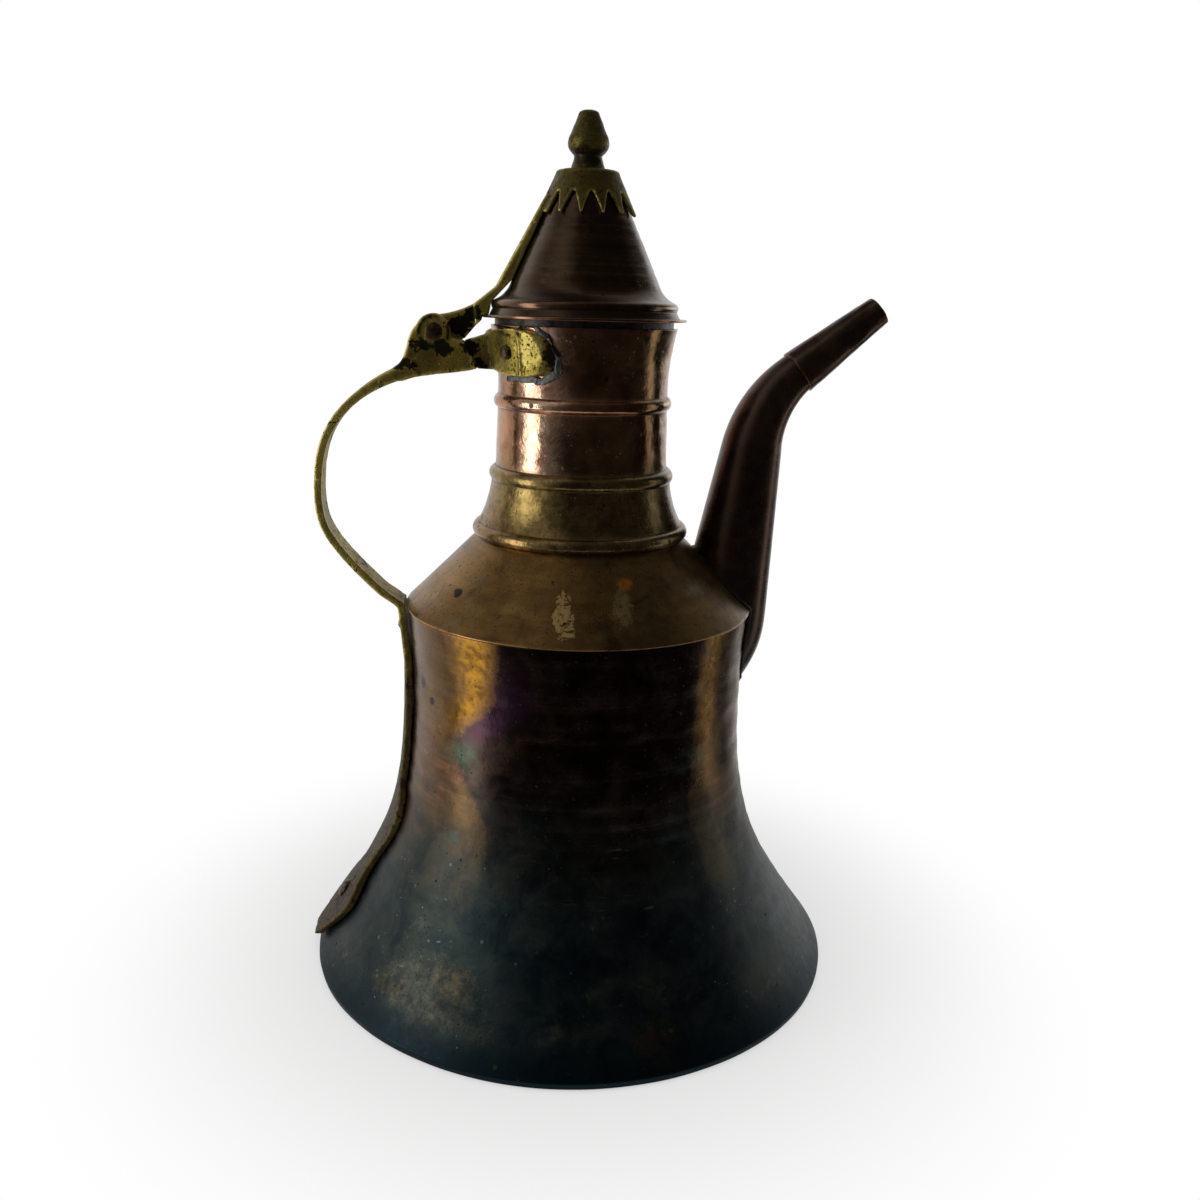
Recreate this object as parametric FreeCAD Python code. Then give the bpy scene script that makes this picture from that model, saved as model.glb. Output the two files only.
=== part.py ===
import FreeCAD, Part
import math
import os

# A lidded copper coffee pot with cast brass fittings, in millimetres.
# The origin is the middle of the base, +Z is up, the spout points along +X and the handle along -X.

# Sheet, fits and clearances
sheet = 1.0                # copper sheet of the body, neck and spout
lid_sheet = 0.9            # copper sheet of the lid
seat_gap = 0.1             # between pieces that are soldered or riveted together
moving_gap = 0.3           # between pieces that move past each other
pin_clearance = 0.05       # radial, hinge pin in the lid's knuckle
rivet_clearance = 0.03     # radial, rivets in their holes

# Lower body: a bell that flares from the waist to the foot
base_radius = 97.3
foot_height = 2.0          # upright edge at the foot
foot_inset = 0.3           # the foot edge is knocked in by this much at the floor
flare_lean = 37.0          # degrees from upright where the flare leaves the foot
flare_foot_pull = 48.0     # how far the foot end of the flare runs straight
flare_waist_pull = 60.0    # how far the waist end of the flare runs straight
waist_radius = 60.5
waist_height = 113.0
crease_radius = 62.7       # sharp edge between wall and shoulder
crease_height = 134.0
lap_length = 6.0           # the wall is turned in under the shoulder by this much
plate_thickness = 1.2      # base plate

# Shoulder and neck
collar_radius = 36.2       # upright collar of the shoulder, inside the neck's foot
collar_height = 160.0
collar_length = 4.0
neck_radius = 29.8
neck_bottom_radius = 30.5  # just above the middle ring
skirt_top_radius = 31.9    # just below the middle ring
skirt_foot_radius = 36.6   # just above the lower ring
ring_shares = (0.022, 0.299, 0.646)  # height of each ring as a share of the neck
ring_radii = (38.7, 32.8, 31.3)
ring_half_height = 2.4
mouth_height = 232.0
mouth_radius = 32.5
mouth_flare_share = 0.25   # upper share of the neck that flares
mouth_flare_dip = 0.9      # how far the flare hangs inside a straight cone at mid height

# Spout
spout_bend_x = 61.7        # where the tapered tube starts to bend outward
spout_bend_height = 191.2
spout_lean = 7.2           # degrees from upright, lower tube
tip_lean = 51.6            # degrees from upright, tip
spout_bend_radius = 40.5
spout_straight = 63.6      # straight tube below the bend
root_bend_radius = 30.0    # the root turns in to the wall
root_turn = 44.0
root_radius = 16.4
bend_radius_of_tube = 10.8
tube_end_radius = 7.3
tip_socket = 6.0           # the tip slips over the tube by this much
tip_length = 36.0
tip_root_radius = 8.1
tip_mouth_radius = 5.3
tip_bore_radius = 4.3
tip_bore_length = 8.0
port_radius = 8.0          # hole from the shoulder into the spout
spout_solder = 1.1

# Hinge
hinge_out = 19.1           # pin beyond the mouth's edge
hinge_drop = 2.8           # pin below the mouth's edge
pin_radius = 2.2
pin_head_radius = 3.0
pin_head_height = 0.8
lug_radius = 6.0           # cheeks around the pin
lug_half_width = 6.2
knuckle_radius = 5.4       # lid's knuckle between the cheeks
knuckle_half_width = 2.6

# Handle
grip_reach = 27.3          # middle of the grip beyond a straight line from shoulder to lug
grip_half_width = 7.0
strap_thickness = 2.7
strap_half_width = 9.5     # at the waist
leaf_half_width = 15.0     # leaf at the foot of the strap
leaf_tip_height = 4.5
leaf_length = 38.0
foot_rivet_height = 19.0
foot_rivet_radius = 2.0
foot_rivet_head = 3.3
foot_rivet_rise = 1.6

# Saddle on the neck
leaf_thickness = 2.4
saddle_reach = 28.6        # half the width across the two leaves
saddle_half_height = 7.6
saddle_drop = 8.6          # middle of the leaves below the mouth's edge
saddle_half_width = 4.8    # arm between lug and neck
saddle_rivet_angle = 34.0  # degrees from the handle
saddle_rivet_radius = 1.4
saddle_rivet_head = 2.4
saddle_rivet_rise = 1.4
saddle_solder_width = 2.2
saddle_solder_height = 0.8

# Lid
plug_radius = 30.9         # collar that hangs in the mouth
plug_depth = 10.0
plug_taper = 2.1
flange_radius = 35.4
flange_lift = 2.2          # flange above the mouth's edge
riser_height = 3.2
riser_flare = 1.2          # riser wider at the flange than at the bead
lid_bead = 0.4
flare_radius = 25.2        # where the flared foot of the lid becomes a plain cone
flare_rise = 12.8          # that place above the flange
cone_top_radius = 9.5
lid_height = 47.0          # flange to flat top
crown_thickness = 1.1
crown_depth = 12.6         # tips of the teeth below the top of the cone
tooth_length = 6.8
tooth_count = 14
lid_strap_half_width = 5.0
lid_strap_thickness = 3.6
finial_height = 19.0
finial_radius = 7.0
finial_neck_radius = 4.9
finial_foot_radius = 6.4
finial_top_radius = 3.4
tenon_radius = 2.4
washer_radius = 5.0
washer_thickness = 1.0

up = FreeCAD.Vector(0, 0, 1)
middle = FreeCAD.Vector(0, 0, 0)
across = FreeCAD.Vector(0, 1, 0)

neck_length = mouth_height - collar_height
ring_heights = [collar_height + share * neck_length for share in ring_shares]
mouth_flare_start = mouth_height - mouth_flare_share * neck_length
pin_x = -(mouth_radius + hinge_out)
pin_z = mouth_height - hinge_drop
flange_z = mouth_height + flange_lift
lid_top = flange_z + lid_height


def at(x, z, y=0.0):
    return FreeCAD.Vector(x, y, z)


def near_pin(x, z):
    """Place beside the hinge pin, counted in lug radii."""
    return at(pin_x + x * lug_radius, pin_z + z * lug_radius)


def line(start, end):
    return Part.makeLine(start, end)


def arc(start, through, end):
    return Part.Arc(start, through, end).toShape()


def curve(points):
    spline = Part.BSplineCurve()
    spline.interpolate(points)
    return spline.toShape()


def lines(points):
    return [line(a, b) for a, b in zip(points, points[1:])]


def closed_face(edges):
    return Part.Face(Part.Wire(Part.__sortEdges__(edges)))


def turned(edges):
    return closed_face(edges).revolve(middle, up, 360)


def turned_part(edges, half_angle):
    """Sweeps a section to both sides of the handle's direction."""
    section = closed_face(edges)
    section.rotate(middle, up, 180 - half_angle)
    return section.revolve(middle, up, 2 * half_angle)


def slab(edges, half_width):
    section = closed_face(edges)
    section.translate(across * -half_width)
    return section.extrude(across * (2 * half_width))


def pointed(shape, base, direction):
    shape.Placement = FreeCAD.Placement(base, FreeCAD.Rotation(up, direction))
    return shape


def meet(point, direction, other, heading):
    """Crossing of two lines in the XZ plane."""
    gap = other - point
    cross = direction.x * heading.z - direction.z * heading.x
    along = (gap.x * heading.z - gap.z * heading.x) / cross
    return point + direction * along


# Shared outlines

def shoulder_slope():
    return (collar_height - crease_height) / (crease_radius - collar_radius)


def shoulder_normal():
    angle = math.atan(shoulder_slope())
    return at(math.sin(angle), math.cos(angle))


def on_shoulder(radius, lift=0.0):
    height = crease_height + (crease_radius - radius) * shoulder_slope()
    return at(radius, height) + shoulder_normal() * lift


def flare_curve():
    lean = math.radians(flare_lean)
    foot = at(base_radius, foot_height)
    bezier = Part.BezierCurve()
    bezier.setPoles([
        foot,
        foot + at(-math.sin(lean), math.cos(lean)) * flare_foot_pull,
        at(waist_radius, waist_height - flare_waist_pull),
        at(waist_radius, waist_height),
    ])
    return bezier


def flare_point(along, lift):
    place, heading = flare_curve().getD1(along)
    normal = at(heading.z, -heading.x)
    normal.normalize()
    return place + normal * lift


def flare_edge(lift):
    count = 12
    return curve([flare_point(step / count, lift) for step in range(count + 1)])


def wall_top():
    """Corner where the wall turns in under the shoulder's edge."""
    return on_shoulder(crease_radius, -(sheet + seat_gap))


def body_envelope(lift):
    """Everything inside the outer skin of the lower body and shoulder, grown by the lift."""
    foot = flare_point(0.0, lift)
    waist = flare_point(1.0, lift)
    crease = at(crease_radius + lift, crease_height + lift * 0.4)
    peak = on_shoulder(collar_radius - 6.0, lift)
    outer = [flare_edge(lift), line(waist, crease), line(crease, peak)]
    inner = lines([peak, at(0, peak.z), at(0, 0), at(foot.x, 0), foot])
    return turned(outer + inner)


def mouth_edges(lift):
    """Neck wall from the upper ring to the mouth, grown by the lift."""
    ring_top = ring_heights[2] + ring_half_height
    half_way = (mouth_flare_start + mouth_height) / 2
    half_radius = (neck_radius + mouth_radius) / 2 - mouth_flare_dip * 0.6
    start = at(neck_radius + lift, mouth_flare_start)
    end = at(mouth_radius + lift, mouth_height)
    flare = arc(start, at(half_radius + lift, half_way), end)
    return [line(at(neck_radius + lift, ring_top), start), flare]


# Copper body

def lower_body():
    top = wall_top()
    normal = shoulder_normal()
    inward = at(-normal.z, normal.x)
    lap_end = top + inward * lap_length
    waist = at(waist_radius, waist_height)
    waist_in = at(waist_radius - sheet, waist_height)
    wall_run = top - waist
    corner = meet(waist_in, wall_run, top - normal * sheet, inward)
    foot = at(base_radius, foot_height)
    floor_out = at(base_radius - foot_inset, 0)
    floor_in = at(base_radius - foot_inset - sheet, 0)
    edges = [line(floor_out, foot), flare_curve().toShape()]
    edges += lines([waist, top, lap_end, lap_end - normal * sheet, corner, waist_in])
    edges += [flare_edge(-sheet), line(flare_point(0.0, -sheet), floor_in), line(floor_in, floor_out)]
    return turned(edges)


def bottom_plate():
    return Part.makeCylinder(base_radius - foot_inset - sheet - seat_gap, plate_thickness)


def shoulder():
    top = collar_height + collar_length
    inside = collar_radius - sheet
    low = on_shoulder(crease_radius, -sheet)
    run = on_shoulder(collar_radius, -sheet) - low
    bend = meet(low, run, at(inside, 0), up)
    points = [on_shoulder(crease_radius), on_shoulder(collar_radius), at(collar_radius, top)]
    points += [at(inside, top), bend, low, on_shoulder(crease_radius)]
    return turned(lines(points)).cut(spout_port())


def spout_port():
    """Hole square to the shoulder, under the spout's root."""
    centre = on_shoulder((crease_radius + collar_radius + port_radius) / 2, -port_radius)
    return Part.makeCylinder(port_radius, 2 * port_radius, centre, shoulder_normal())


def ring_edge(index, low_radius, high_radius, lift, half_height):
    height = ring_heights[index]
    start = at(low_radius + lift, height - half_height)
    tip = at(ring_radii[index] + lift, height)
    return arc(start, tip, at(high_radius + lift, height + half_height))


def neck_wall(lift, half_height):
    """Wall from above the lower ring to the mouth."""
    low_top = ring_heights[0] + ring_half_height
    mid_low = ring_heights[1] - half_height
    mid_top = ring_heights[1] + half_height
    high_low = ring_heights[2] - half_height
    high_top = ring_heights[2] + half_height
    sweep = (skirt_top_radius + skirt_foot_radius) / 2 - 0.9 + lift
    edges = [
        arc(at(skirt_foot_radius + lift, low_top), at(sweep, (low_top + mid_low) / 2),
            at(skirt_top_radius + lift, mid_low)),
        ring_edge(1, skirt_top_radius, neck_bottom_radius, lift, half_height),
        line(at(neck_bottom_radius + lift, mid_top), at(neck_radius + lift, high_low)),
        ring_edge(2, neck_radius, neck_radius, lift, half_height),
    ]
    mouth = mouth_edges(lift)
    mouth[0] = line(at(neck_radius + lift, high_top), at(neck_radius + lift, mouth_flare_start))
    return edges + mouth


def neck():
    inside = collar_radius + seat_gap
    foot_radius = inside + sheet
    foot_in = at(inside, on_shoulder(inside, seat_gap * 2).z)
    foot_out = at(foot_radius, on_shoulder(foot_radius, seat_gap * 2).z)
    low_top = ring_heights[0] + ring_half_height
    low_ring = arc(foot_out, at(ring_radii[0], ring_heights[0]), at(skirt_foot_radius, low_top))
    collar_top = at(inside, collar_height + collar_length + seat_gap)
    wall_in = at(skirt_foot_radius - sheet, low_top)
    rim = line(at(mouth_radius, mouth_height), at(mouth_radius - sheet, mouth_height))
    edges = [low_ring] + neck_wall(0.0, ring_half_height) + [rim]
    edges += neck_wall(-sheet, ring_half_height - 0.7)
    edges += lines([wall_in, collar_top, foot_in, foot_out])
    return turned(edges)


# Spout

def spout_stations():
    """Middle, heading from upright and outer radius along the tube, from the root up."""
    lean = math.radians(spout_lean)
    tip = math.radians(tip_lean)
    bend = at(spout_bend_x, spout_bend_height)
    root = bend - at(math.sin(lean), math.cos(lean)) * spout_straight
    root_centre = root + at(-math.cos(lean), math.sin(lean)) * root_bend_radius
    bend_centre = bend + at(math.cos(lean), -math.sin(lean)) * spout_bend_radius
    stations = []
    for step in (3, 2, 1):
        heading = lean + math.radians(root_turn) * step / 3
        place = root_centre + at(math.cos(heading), -math.sin(heading)) * root_bend_radius
        stations.append((place, heading, root_radius))
    for step in (0, 1, 2, 3):
        radius = root_radius + (bend_radius_of_tube - root_radius) * step / 3
        stations.append((root + (bend - root) * (step / 3), lean, radius))
    for step in (1, 2, 3):
        heading = lean + (tip - lean) * step / 3
        place = bend_centre + at(-math.cos(heading), math.sin(heading)) * spout_bend_radius
        radius = bend_radius_of_tube + (tube_end_radius - bend_radius_of_tube) * step / 3
        stations.append((place, heading, radius))
    return stations


def tip_base():
    return spout_stations()[-1][0]


def tip_direction():
    tip = math.radians(tip_lean)
    return at(math.sin(tip), math.cos(tip))


def spout_core(lift):
    """Solid along the spout tube, grown by the lift."""
    stations = spout_stations()
    end = tip_base() + tip_direction() * (tip_socket - seat_gap)
    stations.append((end, stations[-1][1], tube_end_radius))
    rings = []
    for place, heading, radius in stations:
        direction = at(math.sin(heading), math.cos(heading))
        rings.append(Part.Wire(Part.makeCircle(radius + lift, place, direction)))
    return Part.makeLoft(rings, True, False)


def spout_tube():
    return spout_core(0.0).cut(spout_core(-sheet)).cut(body_envelope(seat_gap))


def spout_solder_ring():
    ring = spout_core(spout_solder).common(body_envelope(spout_solder + seat_gap))
    return ring.cut(body_envelope(seat_gap)).cut(spout_core(seat_gap / 2))


def spout_tip():
    socket = tube_end_radius + seat_gap / 2
    throat = tube_end_radius - sheet
    points = [at(socket, 0), at(tip_root_radius, 0), at(tip_mouth_radius, tip_length)]
    points += [at(tip_bore_radius, tip_length), at(tip_bore_radius, tip_length - tip_bore_length)]
    points += [at(throat, tip_socket), at(socket, tip_socket), at(socket, 0)]
    return pointed(turned(lines(points)), tip_base(), tip_direction())


# Handle and saddle

def grip_stations():
    """Middle of the strap from the wall, round the grip and into the lug, with its thickness."""
    foot = at(-(crease_radius + seat_gap + strap_thickness / 2), crease_height)
    lug = near_pin(-2.07, -2.42)
    chord = lug - foot
    bow = [(0.045, 0.17), (0.10, 0.35), (0.233, 0.71), (0.364, 0.945), (0.52, 1.0)]
    bow += [(0.767, 0.84), (0.913, 0.46)]
    stations = [(at(foot.x, crease_height - 3 * strap_thickness), strap_thickness), (foot, strap_thickness)]
    for along, out in bow:
        thickness = strap_thickness + 0.6 * max(0.0, along - 0.75) / 0.25
        stations.append((foot + chord * along + at(-grip_reach * out, 0), thickness))
    stations.append((lug, strap_thickness + 1.7))
    stations.append((near_pin(-1.0, -2.07), strap_thickness + 2.4))
    return stations


def grip():
    stations = grip_stations()
    spline = Part.BSplineCurve()
    spline.interpolate([place for place, thickness in stations])
    outside = []
    inside = []
    for place, thickness in stations:
        heading = spline.getD1(spline.parameter(place))[1]
        normal = at(-heading.z, heading.x)
        normal.normalize()
        outside.append(place + normal * (thickness / 2))
        inside.append(place - normal * (thickness / 2))
    ends = [line(outside[0], inside[0]), line(outside[-1], inside[-1])]
    return slab([curve(outside), curve(inside)] + ends, grip_half_width)


def back_strap():
    """Strap bent to the wall, cut to the outline of strap and leaf."""
    low = seat_gap
    high = seat_gap + strap_thickness
    top = crease_height + 1.0
    inner = [flare_edge(low), line(flare_point(1.0, low), at(crease_radius + low, top))]
    outer = [flare_edge(high), line(flare_point(1.0, high), at(crease_radius + high, top))]
    ends = [line(flare_point(0.0, low), flare_point(0.0, high))]
    ends += [line(at(crease_radius + low, top), at(crease_radius + high, top))]
    return turned_part(inner + outer + ends, 24).common(strap_outline())


def strap_outline():
    wide = leaf_half_width
    side = [
        (leaf_tip_height, wide * 0.40),
        (leaf_tip_height + leaf_length * 0.16, wide * 0.70),
        (leaf_tip_height + leaf_length * 0.434, wide),
        (leaf_tip_height + leaf_length * 0.684, wide * 0.58),
        (leaf_tip_height + leaf_length, wide * 0.78),
        (waist_height * 0.6, strap_half_width * 1.1),
    ]
    corners = [(waist_height, strap_half_width), (crease_height + 2.0, grip_half_width)]
    edges = []
    for sign in (-1, 1):
        edges.append(curve([at(0, z, sign * y) for z, y in side]))
        edges += lines([at(0, z, sign * y) for z, y in side[-1:] + corners])
    edges.append(line(at(0, side[0][0], -side[0][1]), at(0, side[0][0], side[0][1])))
    edges.append(line(at(0, corners[-1][0], -corners[-1][1]), at(0, corners[-1][0], corners[-1][1])))
    return closed_face(edges).extrude(at(-base_radius * 1.3, 0))


def joint_top():
    return near_pin(1.73, -0.47)


def joint_bottom():
    return near_pin(2.47, -2.02)


def round_pin(radius, degrees):
    angle = math.radians(degrees)
    return near_pin(0, 0) + at(math.cos(angle), math.sin(angle)) * radius


def lug():
    right = round_pin(lug_radius, -17)
    left = round_pin(lug_radius, 160)
    heel = near_pin(-2.3, -2.07)
    toe = near_pin(-1.83, -2.8)
    edges = [line(joint_bottom(), joint_top()), line(joint_top(), right)]
    edges.append(arc(right, round_pin(lug_radius, 90), left))
    edges.append(curve([left, near_pin(-1.47, -0.67), near_pin(-1.7, -1.43), heel]))
    edges.append(line(heel, toe))
    edges.append(curve([toe, near_pin(-0.58, -2.48), near_pin(1.0, -2.27), joint_bottom()]))
    return slab(edges, lug_half_width)


def lug_slot():
    """Room between the cheeks for the knuckle, open above from the neck side to the stop."""
    reach = knuckle_radius + moving_gap
    half_width = knuckle_half_width + moving_gap
    round_room = Part.makeCylinder(reach, 2 * half_width, near_pin(0, 0) - across * half_width, across)
    stop = near_pin(-2.4, -0.27)
    floor = near_pin(2.0, -0.57)
    low = round_pin(reach * 0.98, -65)
    points = [stop, near_pin(-2.4, 2.4), near_pin(2.0, 2.4), floor, low, round_pin(reach / 2, 205), stop]
    return round_room.fuse(slab(lines(points), half_width))


def pin_hole(radius):
    reach = 2 * lug_half_width
    return Part.makeCylinder(radius, 2 * reach, near_pin(0, 0) - across * reach, across)


def handle():
    body = lug().fuse([grip(), back_strap()])
    body = body.cut(lug_slot()).cut(pin_hole(pin_radius + rivet_clearance))
    body = body.cut(body_envelope(seat_gap))
    return body.cut(foot_rivet_shank(rivet_clearance)).removeSplitter()


def saddle_outline(grow):
    """Outline of the two leaves seen from the handle."""
    height = mouth_height - saddle_drop
    tall = saddle_half_height + grow
    reach = saddle_reach + grow / 4
    half = [(0.0, 0.76), (0.34, 0.88), (0.66, 1.0), (0.86, 0.98), (0.95, 0.84), (0.99, 0.5), (1.0, 0.0)]
    upper = [(reach * y, tall * z) for y, z in half]
    ring = upper + [(y, -z) for y, z in reversed(upper[:-1])]
    edges = []
    for sign in (-1, 1):
        edges.append(curve([at(0, height + z, sign * y) for y, z in ring]))
    return closed_face(edges).extrude(at(-mouth_radius * 2, 0))


def neck_band(low, high):
    """Part ring round the neck on the handle's side."""
    inner = mouth_edges(low)
    outer = mouth_edges(high)
    bottom = ring_heights[2] + ring_half_height
    ends = [line(at(neck_radius + low, bottom), at(neck_radius + high, bottom))]
    ends.append(line(at(mouth_radius + low, mouth_height), at(mouth_radius + high, mouth_height)))
    return turned_part(inner + outer + ends, 85)


def saddle_arm():
    neck_side = -(neck_radius - 2.0)
    top = pin_z - 0.4
    bottom = joint_bottom().z - 0.2
    points = [joint_bottom(), joint_top(), at(-(mouth_radius + 1.0), top), at(neck_side, top)]
    points += [at(neck_side, bottom), joint_bottom()]
    arm = slab(lines(points), saddle_half_width)
    core = mouth_edges(seat_gap)
    bottom_z = ring_heights[2] + ring_half_height
    core += lines([at(mouth_radius + seat_gap, mouth_height), at(0, mouth_height), at(0, bottom_z)])
    core.append(line(at(0, bottom_z), at(neck_radius + seat_gap, bottom_z)))
    return arm.cut(turned(core))


def neck_saddle():
    leaves = neck_band(seat_gap, seat_gap + leaf_thickness).common(saddle_outline(0.0))
    body = leaves.fuse(saddle_arm()).removeSplitter()
    return body.cut(saddle_rivet_shanks(rivet_clearance))


def saddle_solder_pads():
    """Thin fringe of solder round the outer end of each leaf."""
    fringe = neck_band(seat_gap / 2, saddle_solder_height)
    fringe = fringe.common(saddle_outline(saddle_solder_width)).cut(saddle_outline(seat_gap))
    wide = saddle_reach
    tall = 6 * saddle_half_height
    inner = Part.makeBox(2 * wide, wide, tall, at(-2 * wide, mouth_height - tall, -wide / 2))
    return fringe.cut(inner)


# Rivets

def dome_edge(radius, height, rise):
    """Arc of a round dome from its rim to the axis; a negative rise hangs down."""
    ball = (radius ** 2 + rise ** 2) / (2 * rise)
    angle = math.asin(radius / abs(ball)) / 2
    half_way = at(abs(ball) * math.sin(angle), height + rise - ball + ball * math.cos(angle))
    return arc(at(radius, height), half_way, at(0, height + rise))


def rivet(shank, length, head, rise):
    """Shank along +Z from 0 to its length, with a domed head on each end."""
    edges = [line(at(0, -rise), at(0, length + rise)), dome_edge(head, length, rise)]
    edges += lines([at(head, length), at(shank, length), at(shank, 0), at(head, 0)])
    edges.append(dome_edge(head, 0, -rise))
    return turned(edges)


def hinge_pin():
    body = rivet(pin_radius, 2 * lug_half_width + 2 * rivet_clearance, pin_head_radius, pin_head_height)
    return pointed(body, near_pin(0, 0) - across * (lug_half_width + rivet_clearance), across)


def saddle_rivet_places():
    height = mouth_height - saddle_drop
    for sign in (-1, 1):
        angle = math.radians(180 + sign * saddle_rivet_angle)
        direction = FreeCAD.Vector(math.cos(angle), math.sin(angle), 0)
        yield direction * (neck_radius - sheet) + up * height, direction


def saddle_rivet_shanks(grow):
    reach = 2 * (sheet + leaf_thickness)
    shanks = []
    for base, direction in saddle_rivet_places():
        start = base - direction * reach
        shanks.append(Part.makeCylinder(saddle_rivet_radius + grow, 3 * reach, start, direction))
    return shanks[0].fuse(shanks[1:])


def saddle_rivets(saddle, wall):
    """Rivets through leaf and neck, filed flush inside so that the lid's plug passes."""
    length = 2 * sheet + leaf_thickness + seat_gap
    kept = neck_band(-sheet, 2 * leaf_thickness)
    bodies = []
    for base, direction in saddle_rivet_places():
        body = rivet(saddle_rivet_radius, length, saddle_rivet_head, saddle_rivet_rise)
        body = pointed(body, base + direction * (2 * seat_gap), direction)
        bodies.append(body.common(kept).cut(saddle).cut(wall))
    return Part.makeCompound(bodies)


def foot_rivet_line():
    """Place on the wall under the leaf and the direction square to it."""
    steps = 200
    best = min(range(steps), key=lambda k: abs(flare_point(k / steps, 0.0).z - foot_rivet_height))
    place = flare_point(best / steps, 0.0)
    direction = flare_point(best / steps, 1.0) - place
    return at(-place.x, place.z), at(-direction.x, direction.z)


def foot_rivet_shank(grow):
    place, direction = foot_rivet_line()
    reach = 2 * (sheet + strap_thickness)
    return Part.makeCylinder(foot_rivet_radius + grow, 2 * reach, place - direction * reach, direction)


def foot_rivet(strap, wall):
    place, direction = foot_rivet_line()
    length = sheet + seat_gap + strap_thickness
    body = rivet(foot_rivet_radius, length, foot_rivet_head, foot_rivet_rise)
    body = pointed(body, place - direction * sheet, direction)
    return body.cut(strap).cut(wall)


# Lid

def lid_inside_foot():
    return plug_radius + seat_gap


def lid_wall(lift):
    """Lid's skin from the top of the riser to the top of the cone."""
    riser = lid_inside_foot() + lid_sheet
    shift = at(lift, 0)
    bead_low = at(riser, flange_z + riser_height) + shift
    bead_tip = at(riser + lid_bead, flange_z + riser_height + 1.5) + shift
    bead_top = at(riser - 0.9, flange_z + riser_height + 3.0) + shift
    cone_foot = at(flare_radius, flange_z + flare_rise) + shift
    bow = at((bead_top.x + cone_foot.x) / 2 - 0.8, (bead_top.z + cone_foot.z) / 2 - 0.6)
    cone_top = at(cone_top_radius, lid_top) + shift
    return [arc(bead_low, bead_tip, bead_top), arc(bead_top, bow, cone_foot), line(cone_foot, cone_top)]


def cone_radius(height):
    share = (height - flange_z - flare_rise) / (lid_height - flare_rise)
    return flare_radius + (cone_top_radius - flare_radius) * share


def lid_cone():
    inside = lid_inside_foot()
    riser = inside + lid_sheet
    hole = tenon_radius + rivet_clearance
    low = lid_top - lid_sheet
    edges = lid_wall(0.0)
    edges += lines([at(cone_top_radius, lid_top), at(hole, lid_top), at(hole, low)])
    inner = lid_wall(-lid_sheet)
    cone_in = cone_radius(low) - lid_sheet
    inner[2] = line(at(flare_radius - lid_sheet, flange_z + flare_rise), at(cone_in, low))
    edges += inner + [line(at(hole, low), at(cone_in, low))]
    edges += lines([at(inside, flange_z + riser_height), at(inside, flange_z), at(flange_radius, flange_z)])
    edges += lines([at(flange_radius, flange_z), at(flange_radius, flange_z + lid_sheet)])
    riser_foot = at(riser + riser_flare, flange_z + lid_sheet)
    edges += lines([at(flange_radius, flange_z + lid_sheet), riser_foot])
    edges += lines([riser_foot, at(riser, flange_z + riser_height)])
    return turned(edges)


def lid_plug():
    low = mouth_height - plug_depth
    bend = mouth_height - 0.6
    top = flange_z + riser_height - 0.4
    thin = lid_sheet
    points = [at(plug_radius, top), at(plug_radius, bend), at(plug_radius - plug_taper, low)]
    points += [at(plug_radius - plug_taper - thin, low), at(plug_radius - thin, bend)]
    points += [at(plug_radius - thin, top), at(plug_radius, top)]
    return turned(lines(points))


def crown():
    """Cap over the top of the cone with a ring of pointed teeth."""
    low = lid_top - crown_depth
    inner_low = at(cone_radius(low) + seat_gap * 1.2, low)
    inner_top = at(cone_top_radius + seat_gap * 1.2, lid_top + seat_gap)
    outer_low = inner_low + at(crown_thickness, 0)
    outer_top = at(inner_top.x + crown_thickness * 0.9, lid_top)
    top = lid_top + seat_gap + crown_thickness
    hole = tenon_radius + rivet_clearance
    shoulder_in = at(outer_top.x - 1.3, top)
    edges = lines([at(hole, top), shoulder_in])
    edges.append(arc(shoulder_in, at(outer_top.x - 0.3, lid_top + crown_thickness * 0.75), outer_top))
    edges += lines([outer_top, outer_low, inner_low, inner_top])
    edges += lines([inner_top, at(hole, lid_top + seat_gap), at(hole, top)])
    return turned(edges).cut(tooth_gaps(low, outer_low.x))


def tooth_gaps(low, radius):
    pitch = 2 * math.pi * radius / tooth_count
    wide = pitch * 0.40
    narrow = pitch * 0.10
    root = low + tooth_length
    bend = root - narrow * 1.4
    gaps = []
    for index in range(tooth_count):
        edges = lines([at(0, bend, -narrow), at(0, low - 1, -wide), at(0, low - 1, wide)])
        edges.append(line(at(0, low - 1, wide), at(0, bend, narrow)))
        edges.append(arc(at(0, bend, narrow), at(0, root, 0), at(0, bend, -narrow)))
        gap = closed_face(edges).extrude(at(radius * 2, 0))
        gap.rotate(middle, up, 360 * (index + 0.5) / tooth_count + 180)
        gaps.append(gap)
    return gaps[0].fuse(gaps[1:])


def strap_line():
    """Ends of the strap's outer line: at the crown and at the foot of the cone."""
    high = lid_top - crown_depth * 0.55
    low = flange_z + flare_rise - 2.6
    start = at(-(cone_radius(high) + seat_gap + crown_thickness), high)
    end = at(-(cone_radius(low) + seat_gap + lid_strap_thickness * 1.1), low)
    return start, end


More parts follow.
